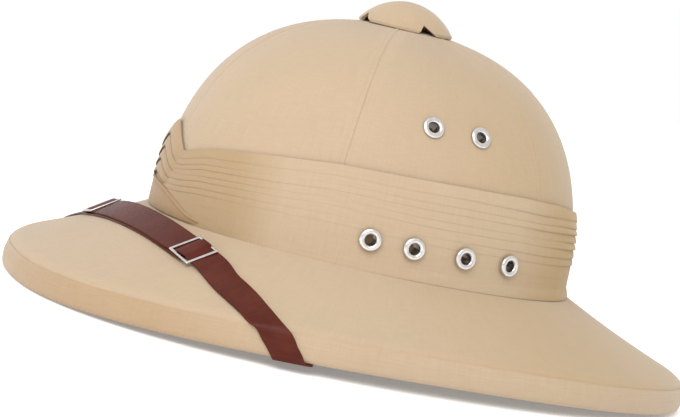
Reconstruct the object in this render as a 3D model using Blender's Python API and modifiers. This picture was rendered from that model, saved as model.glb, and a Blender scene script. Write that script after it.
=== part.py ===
"""Pith helmet with a pleated band, eyelets, a vent cap and a two-part leather chin strap.

Metres, +Z up. The front of the hat faces -Y and the wearer's left side is +X. The edge of
the brim rests on z = 0 at the front and the rear. An angle runs round the hat from the
front, 0, to the wearer's left side, 90, and a height on the crown is measured from the
joint between the crown and the brim.
"""
import math

import bmesh
import bpy
from mathutils import Matrix, Vector

MM = 0.001

# Brim, measured over its binding
BRIM_LENGTH = 364.5 * MM
BRIM_WIDTH = 274.3 * MM
BRIM_SQUARENESS = 2.30
BRIM_SAG = 1.2 * MM
EDGE_HEIGHT = 12.0 * MM
EDGE_SHOULDER = 2.2 * MM
SHOULDER_START = 0.90
SIDE_LIFT = 5.7 * MM
LEVEL_ANGLE = 9.0

# Crown, measured over the bare shell
CROWN_LENGTH = 219.5 * MM
CROWN_WIDTH = 193.2 * MM
CROWN_SQUARENESS = 2.07
CROWN_HEIGHT = 116.1 * MM
CROWN_SIDE_FULLNESS = 2.48
CROWN_TOP_FULLNESS = 2.44
CROWN_FORWARD = 4.5 * MM
JOINT_HEIGHT = 45.4 * MM
JOINT_ARCH = 1.6 * MM
JOINT_FILLET = 1.2 * MM
VENT_RADIUS = 9.0 * MM

# Walls and clearances
SHELL_WALL = 4.0 * MM
CLOTH_WALL = 1.2 * MM
THIN_CLOTH_WALL = 1.0 * MM
CAP_WALL = 2.0 * MM
GAP = 0.3 * MM
BINDING_TURN_IN = 6.5 * MM
BINDING_CHAMFER = 1.0 * MM
BINDING_TOP_MARGIN = 1.5 * MM

# Pleated band
BAND_HEIGHT = 50.0 * MM
BAND_SEAT = 0.5 * MM
BAND_PLEATS = 5
PLEAT_RISE = 1.1 * MM
PLEAT_TUCK = 0.72
FRONT_CALM_ANGLE = 26.0

# Front of the band
PLAIT_ANGLE = -6.0
PLAIT_RISE = 1.1 * MM
PLAIT_STEP = 0.16

# Vent cap
CAP_RADIUS = 24.4 * MM
CAP_HEIGHT = 13.5 * MM
CAP_FORWARD = 7.3 * MM
CAP_ARC = 50.0
CAP_HEM = 1.5 * MM
CAP_SEAT = 0.45 * MM
CAP_NOTCH_ANGLES = (98.0, 188.0, 278.0, 8.0)
CAP_NOTCH_WIDTH = 11.0 * MM
CAP_NOTCH_HEIGHT = 4.6 * MM
CAP_NOTCH_LEAN = -0.45

# Eyelets
EYELET_FLANGE = 11.0 * MM
EYELET_HOLE = 5.0 * MM
EYELET_WALL = 0.45 * MM
EYELET_DOME = 1.1 * MM
EYELET_BROW = 0.8
EYELET_LIP = 0.5
EYELET_BACK = 9.0 * MM
EYELET_BACK_THICKNESS = 0.7 * MM
EYELET_BACK_SEAT = 1.2 * MM
EYELET_LOW_HEIGHT = 14.6 * MM
EYELET_HIGH_HEIGHT = 72.4 * MM
EYELET_LOW_ANGLES = (73.2, 84.1, 97.1, 110.7)
EYELET_HIGH_ANGLES = (84.2, 98.7)

# Chin strap
STRAP_WIDTH = 15.6 * MM
STRAP_THICKNESS = 1.0 * MM
STRAP_SEAT = 0.6 * MM
STRAP_EDGE_SEAT = 1.1 * MM
LAYER_GAP = 0.45 * MM
WIRE_GAP = 0.8 * MM
STRAP_STEP = 5.0 * MM
STRAP_TAIL = 4.5 * MM
STRAP_TAIL_CURL = 0.8 * MM
STRAP_CLIMB = 12.0 * MM
STRAP_EDGE_BLEND = 14.0 * MM
STRAP_SLANT_LIMIT = 0.96
STRAP_INSIDE_SEAT = 1.3 * MM
STRAP_WINDOW = 0.9
STRAP_NECK = 13.3 * MM
ANCHOR_ANGLE = 62.5
ANCHOR_HEIGHT = 16.0 * MM
ANCHOR_END = 6.5 * MM
ANCHOR_HEAD = 8.0 * MM
ANCHOR_HEAD_THICKNESS = 1.4 * MM
ANCHOR_SEAT = 0.45 * MM
ANCHOR_POST = 3.0 * MM
ANCHOR_DEPTH = 2.6 * MM
ANCHOR_DOME = 0.6
ANCHOR_RIM = 0.3
SLIDE_WIRE = 1.3 * MM
SLIDE_BAR = 1.1 * MM
SLIDE_LENGTH = 17.0 * MM
SLIDE_WIDTH = 17.6 * MM
SLIDE_MARKS = (-1.0, -0.7, -0.35, 0.0, 0.35, 0.7, 1.0)
SLIDE_CORNER = 1.6 * MM
SLIDE_CORNER_CUT = 0.3

SEGMENTS = 44
CAP_SEGMENTS = 24
TURNED_SEGMENTS = 10

# Rows of the crown's surface, as degrees of a quarter turn from the joint to the top
CROWN_ROWS = (9, 20, 31, 42, 53, 63, 72, 80)
BRIM_ROWS = (1.0, 0.955, 0.88, 0.45, 0.0)

# Band's top edge round one half of the hat: angle, share of the band's height
BAND_TOP = (
    (0, 0.63), (10, 0.65), (21, 0.745), (36, 0.82), (62, 0.92), (95, 0.955),
    (115, 0.958), (132, 0.935), (155, 0.86), (180, 0.84),
)

# Plait lines, top to bottom: height at its middle and at its ends as shares of the
# band's height, and half its spread in degrees
PLAIT_LINES = (
    (0.91, 0.63, 15.0),
    (0.77, 0.51, 13.5),
    (0.63, 0.42, 12.5),
    (0.50, 0.34, 11.5),
    (0.37, 0.28, 10.0),
)

# Top edge of the smooth wrap below the plait: angle, share of the band's height
WRAP_TOP = (
    (-36, 0.10), (-28, 0.22), (-18, 0.27), (-9, 0.275), (1, 0.25), (7, 0.21),
    (13, 0.155), (19, 0.085), (25, 0.045),
)

# Route of the strap over the brim from the left edge to the right one: angle, reach from
# the crown to the edge, lean of the leather off the brim in degrees
STRAP_RUN = (
    (64.0, 0.975, 0), (61.4, 0.875, 0), (57.3, 0.74, 0), (53.2, 0.62, 0), (44.5, 0.42, 1),
    (37.0, 0.336, 2), (28.0, 0.245, 5), (16.5, 0.185, 7), (4.0, 0.185, 9), (-9.0, 0.255, 8),
    (-21.0, 0.38, 5), (-31.0, 0.54, 3), (-38.0, 0.70, 1), (-43.5, 0.86, 0), (-47.5, 0.975, 0),
)
SLIDE_LEFT_ANGLE = 36.6
SLIDE_RIGHT_ANGLE = -16.5

# Route of the strap round the edge, from inside the brim to its top: degrees gained
# towards the rear, inset as shares of the edge's depth and of the leather's stand-off,
# rise as shares of the edge's height and of the stand-off
STRAP_EDGE = (
    (5.4, 1.0, 1.5, 0.33, 0.0), (5.4, 1.0, 1.2, 0.0, -0.6), (4.9, 0.5, 0.0, 0.0, -1.0),
    (4.9, 0.14, 0.0, 0.0, -1.0), (4.2, 0.0, -0.8, 0.0, 0.0), (3.5, 0.0, -1.0, 0.3, 0.0),
    (2.1, 0.0, -1.0, 0.75, 0.0), (0.9, 0.0, -0.75, 1.0, 0.5),
)

KHAKI = (0.62, 0.47, 0.31, 1.0)
BAND_KHAKI = (0.58, 0.43, 0.27, 1.0)
LEATHER = (0.13, 0.03, 0.02, 1.0)
NICKEL = (0.75, 0.72, 0.70, 1.0)


def clear_scene():
    """Remove every object of the scene that the script starts in."""
    for item in list(bpy.data.objects):
        bpy.data.objects.remove(item, do_unlink=True)


def make_collection(name):
    collection = bpy.data.collections.new(name)
    bpy.context.scene.collection.children.link(collection)
    return collection


def make_material(name, colour, roughness, metallic=0.0):
    material = bpy.data.materials.new(name)
    material.use_nodes = True
    shader = material.node_tree.nodes["Principled BSDF"]
    shader.inputs["Base Color"].default_value = colour
    shader.inputs["Roughness"].default_value = roughness
    shader.inputs["Metallic"].default_value = metallic
    return material


def add_object(name, mesh, collection, material=None):
    item = bpy.data.objects.new(name, mesh)
    collection.objects.link(item)
    if material is not None:
        mesh.materials.append(material)
    return item


def add_cutter(name, mesh, collection):
    item = add_object(name, mesh, collection)
    item.hide_render = True
    item.display_type = "WIRE"
    return item


def mesh_from(bm, name):
    mesh = bpy.data.meshes.new(name)
    bm.to_mesh(mesh)
    bm.free()
    return mesh


def sheet_mesh(name, columns, rows, place, smooth_angle=40.0):
    """Grid whose vertex at column and row is at place(column, row), welded where it meets."""
    bm = bmesh.new()
    bmesh.ops.create_grid(bm, x_segments=columns, y_segments=rows, size=0.5)
    for vertex in bm.verts:
        column = round((vertex.co.x + 0.5) * columns)
        row = round((vertex.co.y + 0.5) * rows)
        vertex.co = place(column, row)
    bmesh.ops.remove_doubles(bm, verts=bm.verts, dist=1e-6)
    mesh = mesh_from(bm, name)
    mesh.shade_smooth()
    mesh.set_sharp_from_angle(angle=math.radians(smooth_angle))
    return mesh


def add_wall(item, thickness, side):
    """Give a sheet its thickness: side -1 inwards, 0 to both sides, 1 outwards."""
    wall = item.modifiers.new("wall", "SOLIDIFY")
    wall.thickness = thickness
    wall.offset = side
    wall.use_even_offset = True


def add_cut(item, cutter, operation="DIFFERENCE"):
    cut = item.modifiers.new(cutter.name, "BOOLEAN")
    cut.operation = operation
    cut.object = cutter
    cut.solver = "EXACT"


def mix(start, end, share):
    return start + (end - start) * share


def bump(distance, half_length):
    """1 at no distance, falling smoothly to 0 at half_length."""
    if abs(distance) >= half_length:
        return 0.0
    return 0.5 + 0.5 * math.cos(math.pi * distance / half_length)


def table_row(table, key):
    """Row of a table at a key in its first column, in straight steps between its rows."""
    rows = sorted(table)
    key = min(max(key, rows[0][0]), rows[-1][0])
    for low, high in zip(rows, rows[1:]):
        if key <= high[0]:
            share = (key - low[0]) / (high[0] - low[0])
            return tuple(mix(a, b, share) for a, b in zip(low[1:], high[1:]))
    return rows[-1][1:]


def squared_oval(half_width, half_length, squareness, angle):
    """Plan position at an angle in degrees from the front towards the left side."""
    sine = math.sin(math.radians(angle))
    cosine = math.cos(math.radians(angle))
    power = 2.0 / squareness
    return (
        half_width * math.copysign(abs(sine) ** power, sine),
        -half_length * math.copysign(abs(cosine) ** power, cosine),
    )


def sideness(angle):
    """0 at the front and the rear, 1 at the sides."""
    return math.sin(math.radians(angle)) ** 2


def edge_lift(angle):
    """Height of the edge's underside above the rest plane, level at the front and rear."""
    level = sideness(LEVEL_ANGLE)
    return SIDE_LIFT * max(0.0, (sideness(angle) - level) / (1.0 - level))


def edge_point(angle, inset, rise):
    """Point on the brim's edge, inset from its outer face and above its underside."""
    x, y = squared_oval(BRIM_WIDTH / 2 - inset, BRIM_LENGTH / 2 - inset, BRIM_SQUARENESS, angle)
    return Vector((x, y, edge_lift(angle) + rise))


def joint_z(angle):
    return JOINT_HEIGHT + JOINT_ARCH * sideness(angle)


def brim_point(angle, reach):
    """Point on the brim's top, with reach 0 at the crown and 1 at the edge's crease."""
    crease_inset = GAP
    x, y = squared_oval(
        mix(CROWN_WIDTH / 2 + JOINT_FILLET, BRIM_WIDTH / 2 - crease_inset, reach),
        mix(CROWN_LENGTH / 2 + JOINT_FILLET, BRIM_LENGTH / 2 - crease_inset, reach),
        mix(CROWN_SQUARENESS, BRIM_SQUARENESS, reach),
        angle,
    )
    outer_z = edge_lift(angle) + EDGE_HEIGHT + EDGE_SHOULDER
    rounding = max(0.0, (reach - SHOULDER_START) / (1.0 - SHOULDER_START))
    z = mix(joint_z(angle), outer_z, reach) - EDGE_SHOULDER * rounding ** 2
    z -= BRIM_SAG * 4.0 * reach * (1.0 - reach)
    return Vector((x, y - CROWN_FORWARD * (1.0 - reach), z))


def crown_surface(angle, height):
    rise = min(max(height / CROWN_HEIGHT, 0.0), 1.0)
    share = (1.0 - rise ** CROWN_SIDE_FULLNESS) ** (1.0 / CROWN_TOP_FULLNESS)
    x, y = squared_oval(
        CROWN_WIDTH / 2 * share, CROWN_LENGTH / 2 * share, CROWN_SQUARENESS, angle
    )
    arch = JOINT_ARCH * sideness(angle) * (1.0 - rise)
    return Vector((x, y - CROWN_FORWARD, JOINT_HEIGHT + arch + height))


def surface_normal(place, first, second, first_step, second_step):
    """Unit normal of a surface, from a small step along each of its directions."""
    along = place(first + first_step, second) - place(first - first_step, second)
    across = place(first, second + second_step) - place(first, second - second_step)
    return along.cross(across).normalized()


def crown_normal(angle, height):
    height = max(height, 1.0 * MM)
    return surface_normal(crown_surface, angle, height, 0.5, 0.5 * MM)


def brim_normal(angle, reach):
    return -surface_normal(brim_point, angle, reach, 0.5, 0.01)


def crown_point(angle, height, out=0.0):
    """Point off the crown's surface, out along its normal."""
    return crown_surface(angle, height) + crown_normal(angle, height) * out


def crown_height_at(x, y):
    """Height of the crown's surface over a plan position."""
    across = abs(x) / (CROWN_WIDTH / 2)
    along = abs(y + CROWN_FORWARD) / (CROWN_LENGTH / 2)
    share = (across ** CROWN_SQUARENESS + along ** CROWN_SQUARENESS) ** (1 / CROWN_SQUARENESS)
    rise = (1.0 - share ** CROWN_TOP_FULLNESS) ** (1.0 / CROWN_SIDE_FULLNESS)
    return CROWN_HEIGHT * rise


def ring_angle(column, columns=SEGMENTS):
    return 360.0 * (column % columns) / columns


def build_shell(collection, material):
    """Crown and brim as one wall, open at the vent and under the head."""
    cover = CLOTH_WALL + GAP
    rows = [
        lambda angle: edge_point(angle, cover, cover + BINDING_CHAMFER),
        lambda angle: edge_point(angle, cover, EDGE_HEIGHT - BINDING_TOP_MARGIN + GAP),
    ]
    for reach in BRIM_ROWS:
        rows.append(lambda angle, reach=reach: brim_point(angle, reach))
    rows.append(lambda angle: crown_surface(angle, JOINT_FILLET))
    for turn in CROWN_ROWS:
        height = CROWN_HEIGHT * math.sin(math.radians(turn)) ** (2.0 / CROWN_SIDE_FULLNESS)
        rows.append(lambda angle, height=height: crown_surface(angle, height))
    vent_height = crown_height_at(VENT_RADIUS, -CROWN_FORWARD)
    rows.append(lambda angle: crown_surface(angle, vent_height))
    mesh = sheet_mesh(
        "shell", SEGMENTS, len(rows) - 1,
        lambda column, row: rows[row](ring_angle(column)),
    )
    shell = add_object("shell", mesh, collection, material)
    add_wall(shell, SHELL_WALL, -1)
    return shell


def build_binding(collection, material):
    """Cloth turned round the edge of the brim, flat where the hat rests on it."""
    outer = CLOTH_WALL
    inner = CLOTH_WALL + GAP + SHELL_WALL + GAP
    path = (
        (inner, BINDING_TURN_IN),
        (inner, CLOTH_WALL),
        (outer + BINDING_CHAMFER, CLOTH_WALL),
        (outer, CLOTH_WALL + BINDING_CHAMFER),
        (outer, EDGE_HEIGHT - BINDING_TOP_MARGIN),
    )
    mesh = sheet_mesh(
        "brim_binding", SEGMENTS, len(path) - 1,
        lambda column, row: edge_point(ring_angle(column), *path[row]),
    )
    binding = add_object("brim_binding", mesh, collection, material)
    add_wall(binding, CLOTH_WALL, 1)


def band_top(angle):
    """Height of the band's top edge above the joint."""
    half_turn = abs((angle + 180.0) % 360.0 - 180.0)
    return BAND_HEIGHT * table_row(BAND_TOP, half_turn)[0]


def band_calm(angle):
    """How far the pleats stand out: less at the front, where the plait covers them."""
    half_turn = abs((angle + 180.0) % 360.0 - 180.0)
    return 1.0 - 0.75 * bump(half_turn, FRONT_CALM_ANGLE)


def band_rows():
    """Rows of the band, bottom to top: share of its height and how far they stand out."""
    rows = []
    for pleat in range(BAND_PLEATS):
        rows.append((pleat / BAND_PLEATS, 1.0))
        rows.append(((pleat + PLEAT_TUCK) / BAND_PLEATS, 0.15))
    rows.append((1.0, 0.0))
    return rows


def band_out(angle, depth):
    """Distance of the band's outer face from the crown."""
    return BAND_SEAT + CLOTH_WALL + PLEAT_RISE * depth * band_calm(angle)


def build_band(collection, material):
    rows = band_rows()

    def place(column, row):
        angle = ring_angle(column)
        share, depth = rows[row]
        height = mix(BAND_SEAT, band_top(angle), share)
        return crown_point(angle, height, band_out(angle, depth))

    mesh = sheet_mesh("puggaree", SEGMENTS, len(rows) - 1, place)
    band = add_object("puggaree", mesh, collection, material)
    add_wall(band, CLOTH_WALL, -1)
    return band


def build_plait(collection, material):
    """Crossed pleats at the front: strips that fall to both sides from the middle."""
    columns = 12
    rows = []
    for line in range(len(PLAIT_LINES) - 1):
        rows.append((line, 0.15))
        rows.append((line + 1 - PLAIT_STEP, 1.0))
    rows.append((len(PLAIT_LINES) - 1, 0.4))
    rows.reverse()
    base = band_out(PLAIT_ANGLE, 1.0) + GAP + THIN_CLOTH_WALL

    def place(column, row):
        position, depth = rows[row]
        upper = PLAIT_LINES[int(position)]
        lower = PLAIT_LINES[min(int(position) + 1, len(PLAIT_LINES) - 1)]
        middle, end, spread = (mix(a, b, position % 1.0) for a, b in zip(upper, lower))
        side = 2.0 * column / columns - 1.0
        height = BAND_HEIGHT * mix(middle, end, abs(side) ** 1.2)
        return crown_point(PLAIT_ANGLE + spread * side, height, base + PLAIT_RISE * depth)

    mesh = sheet_mesh("puggaree_plait", columns, len(rows) - 1, place)
    plait = add_object("puggaree_plait", mesh, collection, material)
    add_wall(plait, THIN_CLOTH_WALL, -1)


def build_wrap(collection, material):
    """Smooth end of the band's cloth, which crosses the front below the plait."""
    columns = 16
    first = WRAP_TOP[0][0]
    last = WRAP_TOP[-1][0]

    def place(column, row):
        angle = mix(first, last, column / columns)
        top = BAND_HEIGHT * table_row(WRAP_TOP, angle)[0]
        height = mix(BAND_SEAT + GAP, top, row / 2)
        out = band_out(angle, 1.0) + GAP + THIN_CLOTH_WALL
        return crown_point(angle, height, out)

    mesh = sheet_mesh("puggaree_wrap", columns, 2, place)
    wrap = add_object("puggaree_wrap", mesh, collection, material)
    add_wall(wrap, THIN_CLOTH_WALL, -1)


def build_cap(collection, cutters, material):
    """Domed cap over the vent, its rim seated on the crown and notched for air."""
    rows = 6
    hem_rows = 1
    peak = JOINT_HEIGHT + CROWN_HEIGHT + CAP_HEIGHT
    steepest = math.cos(math.radians(CAP_ARC))

    def rim(angle):
        x = CAP_RADIUS * math.sin(math.radians(angle))
        y = -CAP_FORWARD - CAP_RADIUS * math.cos(math.radians(angle))
        return Vector((x, y, JOINT_HEIGHT + crown_height_at(x, y) + CAP_SEAT))

    def place(column, row):
        base = rim(ring_angle(column, CAP_SEGMENTS))
        if row < hem_rows:
            return base
        slope = math.radians(CAP_ARC * (1.0 - (row - hem_rows) / rows))
        radius = math.sin(slope) / math.sin(math.radians(CAP_ARC))
        height = (math.cos(slope) - steepest) / (1.0 - steepest)
        return Vector((
            base.x * radius,
            mix(-CAP_FORWARD, base.y, radius),
            mix(base.z + CAP_HEM, peak, height),
        ))

    mesh = sheet_mesh("vent_cap", CAP_SEGMENTS, rows + hem_rows, place)
    cap = add_object("vent_cap", mesh, collection, material)
    add_wall(cap, CAP_WALL, -1)
    for number, angle in enumerate(CAP_NOTCH_ANGLES, 1):
        base = rim(angle)
        outward = Vector((base.x, base.y + CAP_FORWARD, 0.0)).normalized()
        bm = bmesh.new()
        bmesh.ops.create_cone(
            bm, cap_ends=True, segments=3, radius1=1.0, radius2=1.0, depth=CAP_WALL * 4.0
        )
        tip_side = CAP_NOTCH_LEAN * CAP_NOTCH_WIDTH / 2
        spread = 1.0 + CAP_WALL / CAP_NOTCH_HEIGHT
        for vertex in bm.verts:
            at_tip = vertex.co.y > 0.9
            foot = math.copysign(CAP_NOTCH_WIDTH / 2, vertex.co.x)
            side = tip_side if at_tip else mix(tip_side, foot, spread)
            rise = CAP_NOTCH_HEIGHT if at_tip else -CAP_WALL
            along = Vector((0.0, 0.0, 1.0)).cross(outward)
            vertex.co = base + along * side + outward * vertex.co.z + Vector((0, 0, rise))
        notch = add_cutter(f"vent_notch_{number}", mesh_from(bm, "vent_notch"), cutters)
        add_cut(cap, notch)


def baked_mesh(name, item, sharp_angle):
    """Mesh of a helper object with its modifiers applied; the helper is removed."""
    evaluated = item.evaluated_get(bpy.context.evaluated_depsgraph_get())
    mesh = bpy.data.meshes.new_from_object(evaluated)
    mesh.name = name
    bpy.data.objects.remove(item, do_unlink=True)
    mesh.shade_smooth()
    mesh.set_sharp_from_angle(angle=math.radians(sharp_angle))
    return mesh


def turned_mesh(name, profile, collection, closed=True):
    """Profile of radius and height, listed down its outer side, turned about Z."""
    bm = bmesh.new()
    corners = [bm.verts.new((radius, 0.0, height)) for radius, height in profile]
    ends = corners[1:] + corners[:1] if closed else corners[1:]
    for start, end in zip(corners, ends):
        bm.edges.new((start, end))
    helper = add_object(f"{name}_profile", mesh_from(bm, f"{name}_profile"), collection)
    turn = helper.modifiers.new("turn", "SCREW")
    turn.steps = TURNED_SEGMENTS
    turn.render_steps = TURNED_SEGMENTS
    turn.use_merge_vertices = True
    turn.merge_threshold = 0.00001
    return baked_mesh(name, helper, 40.0)


def rod_mesh(name, radius, length, segments=TURNED_SEGMENTS):
    """Rod centred on Z."""
    bm = bmesh.new()
    bmesh.ops.create_cone(
        bm, cap_ends=True, segments=segments, radius1=radius, radius2=radius, depth=length
    )
    return mesh_from(bm, name)


def facing(position, normal, along):
    """Placement with Y along a direction and Z as near as can be to the normal."""
    side = along.cross(normal).normalized()
    axes = Matrix((side, along, side.cross(along))).transposed().to_4x4()
    return Matrix.Translation(position) @ axes


def eyelet_profile(depth):
    """Outer flange, barrel and back flange round the hole; 0 is the outer flange's seat."""
    hole = EYELET_HOLE / 2
    barrel = hole + EYELET_WALL
    flange = EYELET_FLANGE / 2
    back = EYELET_BACK / 2
    return (
        (hole + EYELET_WALL, EYELET_DOME),
        (flange - EYELET_WALL * 2, EYELET_DOME * EYELET_BROW),
        (flange, 0.0),
        (barrel, 0.0),
        (barrel, -depth),
        (back, -depth),
        (hole, -depth - EYELET_BACK_THICKNESS),
        (hole, EYELET_DOME * EYELET_LIP),
    )


def build_eyelets(collection, cutters, material, shell, band):
    """Eyelets through the wall: a low row through the band and a high row above it."""
    low_out = band_out(90.0, 1.0) + GAP
    rows = (
        ("low", EYELET_LOW_HEIGHT, EYELET_LOW_ANGLES, low_out, (shell, band)),
        ("high", EYELET_HIGH_HEIGHT, EYELET_HIGH_ANGLES, GAP, (shell,)),
    )
    for row, height, angles, out, walls in rows:
        depth = out + SHELL_WALL + EYELET_BACK_SEAT
        mesh = turned_mesh(f"eyelet_{row}", eyelet_profile(depth), collection)
        mesh.materials.append(material)
        drill = rod_mesh(f"eyelet_drill_{row}", EYELET_HOLE / 2 + EYELET_WALL + GAP, 4 * depth)
        for side, sign in (("left", 1.0), ("right", -1.0)):
            for number, angle in enumerate(angles, 1):
                turn = sign * angle
                normal = crown_normal(turn, height)
                level = Vector((0, 0, 1)).cross(normal).normalized()
                placement = facing(crown_point(turn, height, out), normal, level)
                name = f"eyelet_{row}_{side}_{number}"
                eyelet = add_object(name, mesh, collection)
                eyelet.matrix_world = placement
                cutter = add_cutter(f"{name}_drill", drill, cutters)
                cutter.matrix_world = placement
                for wall in walls:
                    add_cut(wall, cutter)


def spline_rows(table, samples):
    """Rows of a table joined by a smooth curve, with samples steps between two rows."""
    rows = [Vector(row) for row in table]
    curve = []
    for index in range(len(rows) - 1):
        before = rows[max(index - 1, 0)]
        start = rows[index]
        end = rows[index + 1]
        after = rows[min(index + 2, len(rows) - 1)]
        for step in range(samples):
            t = step / samples
            curve.append(0.5 * (
                2.0 * start + (end - before) * t
                + (2.0 * before - 5.0 * start + 4.0 * end - after) * t ** 2
                + (3.0 * start - before - 3.0 * end + after) * t ** 3
            ))
    curve.append(rows[-1])
    return curve


class StrapRun:
    """Middle line of the strap over the brim, by distance from its left end."""

    def __init__(self):
        self.rows = spline_rows(STRAP_RUN, 12)
        points = [brim_point(row[0], row[1]) for row in self.rows]
        self.distances = [0.0]
        for start, end in zip(points, points[1:]):
            self.distances.append(self.distances[-1] + (end - start).length)
        self.length = self.distances[-1]

    def row(self, distance):
        table = [(d, *row) for d, row in zip(self.distances, self.rows)]
        return table_row(table, distance)

    def distance_at(self, angle):
        """Distance at which the line passes an angle."""
        table = [(row[0], d) for d, row in zip(self.distances, self.rows)]
        return table_row(table, angle)[0]

    def frame(self, distance):
        """Seat of the leather: its middle on the brim, across uphill, and off the brim."""
        step = 0.5 * MM
        near = self.row(max(distance - step, 0.0))
        far = self.row(min(distance + step, self.length))
        angle, reach, lean = self.row(distance)
        normal = brim_normal(angle, reach)
        along = (brim_point(far[0], far[1]) - brim_point(near[0], near[1])).normalized()
        uphill = along.cross(normal).normalized()
        turn = math.radians(lean)
        seat = brim_point(angle, reach) + normal * STRAP_WIDTH / 2 * math.sin(turn)
        return seat, normal * math.cos(turn) - uphill * math.sin(turn), along


def slide_level():
    """Height of a slide's wires off the brim: above both layers of the strap."""
    return STRAP_SEAT + 2.0 * STRAP_THICKNESS + LAYER_GAP + WIRE_GAP + SLIDE_WIRE / 2


def under_wire():
    """Height of leather that passes below a slide's wire."""
    return slide_level() - SLIDE_WIRE / 2 - WIRE_GAP - STRAP_THICKNESS / 2


def over_bar():
    """Height of leather that passes above a slide's middle bar."""
    return slide_level() + SLIDE_BAR / 2 + LAYER_GAP + STRAP_THICKNESS / 2


def marks_between(run, first, last, slides):
    """Distances along the run, closer together where the leather bends at a slide."""
    count = round(run.length / STRAP_STEP)
    marks = [run.length * index / count for index in range(count + 1)]
    reach = SLIDE_LENGTH / 2
    for slide in slides:
        marks = [mark for mark in marks if abs(mark - slide) > reach + STRAP_STEP / 2]
        marks.extend(slide + reach * share for share in SLIDE_MARKS)
    low, high = min(first, last), max(first, last)
    inside = sorted(mark for mark in marks if low + MM < mark < high - MM)
    marks = [low, *inside, high]
    return marks if first < last else marks[::-1]


def run_stations(run, marks, slides, height_at):
    """Leather over the brim, as its middle, direction across and width at each mark."""
    stations = []
    for distance in marks:
        seat, normal, along = run.frame(distance)
        across = normal.cross(along).normalized()
        margin = min(distance, run.length - distance)
        turned = bump(margin, STRAP_EDGE_BLEND)
        if turned > 0.0:
            tangent = edge_tangent(run.row(distance)[0])
            across = mix(across, tangent if tangent.dot(across) > 0 else -tangent, turned)
        near_slide = max(bump(distance - slide, SLIDE_LENGTH) for slide in slides)
        width = mix(STRAP_WIDTH, STRAP_NECK, min(1.0, 2.0 * near_slide))
        stations.append((seat + normal * height_at(distance), across.normalized(), width))
    return stations


def tangent_of(place_at, angle):
    """Direction along a curve round the hat, towards the larger angle."""
    return (place_at(angle + 0.5) - place_at(angle - 0.5)).normalized()


def edge_tangent(angle):
    return tangent_of(lambda turn: edge_point(turn, 0.0, 0.0), angle)


def edge_stations(angle, anchor_angle):
    """Leather from inside the crown, round the brim's edge, to the start of the run."""
    stand_off = STRAP_THICKNESS / 2 + STRAP_EDGE_SEAT
    depth = 2.0 * (CLOTH_WALL + GAP) + SHELL_WALL
    side = math.copysign(1.0, angle)
    wall = -(SHELL_WALL + STRAP_THICKNESS / 2 + STRAP_INSIDE_SEAT)
    below = -2.0 * SHELL_WALL
    crown_across = tangent_of(lambda turn: crown_point(turn, ANCHOR_HEIGHT), anchor_angle)
    stations = [
        (crown_point(anchor_angle, height, wall), crown_across * -side, STRAP_WIDTH)
        for height in (ANCHOR_HEIGHT + ANCHOR_END, ANCHOR_HEIGHT, 0.0)
    ]
    corner = crown_point(anchor_angle, 0.0, wall - stand_off) + Vector((0.0, 0.0, below))
    stations.append((corner, crown_across * -side, STRAP_WIDTH))
    for gain, depth_share, inset_share, height_share, rise_share in STRAP_EDGE:
        turn = angle + side * gain
        inset = depth * depth_share + stand_off * inset_share
        rise = EDGE_HEIGHT * height_share + stand_off * rise_share
        stations.append((edge_point(turn, inset, rise), edge_tangent(turn) * -side, STRAP_WIDTH))
    return stations


def strap_mesh(name, stations):
    """Flat leather along the stations, as a sheet two vertices wide."""
    last = len(stations) - 1

    def place(column, row):
        middle, across, width = stations[column]
        before = stations[max(column - 1, 0)][0]
        after = stations[min(column + 1, last)][0]
        squareness = across.cross((after - before).normalized()).length
        return middle + across * width / max(squareness, STRAP_SLANT_LIMIT) * (row - 0.5)

    return sheet_mesh(name, last, 1, place)


def add_anchor(side, stations, collection, cutters, materials, strap, shell):
    """Stud that holds the strap's end to the inside of the crown."""
    angle = ANCHOR_ANGLE if side == "left" else -ANCHOR_ANGLE
    place = stations[1][0]
    inward = -crown_normal(angle, ANCHOR_HEIGHT)
    half = STRAP_THICKNESS / 2
    reach = half + STRAP_INSIDE_SEAT + ANCHOR_DEPTH
    post = ANCHOR_POST / 2
    seat = half + ANCHOR_SEAT
    profile = (
        (0.0, seat + ANCHOR_HEAD_THICKNESS),
        (ANCHOR_DOME * ANCHOR_HEAD / 2, seat + ANCHOR_HEAD_THICKNESS),
        (ANCHOR_HEAD / 2, seat + ANCHOR_HEAD_THICKNESS * ANCHOR_RIM),
        (ANCHOR_HEAD / 2, seat),
        (post, seat),
        (post, -reach),
        (0.0, -reach),
    )
    stud = turned_mesh(f"anchor_{side}", profile, collection, closed=False)
    placement = facing(place, inward, Vector((0, 0, 1)).cross(inward).normalized())
    item = add_object(f"anchor_{side}", stud, collection, materials["nickel"])
    item.matrix_world = placement
    depth = reach + GAP
    hole = rod_mesh(f"anchor_hole_{side}", post + 2.0 * GAP, 2.0 * depth)
    cutter = add_cutter(f"anchor_{side}_hole", hole, cutters)
    cutter.matrix_world = placement
    add_cut(strap, cutter)
    add_cut(shell, cutter)


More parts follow.
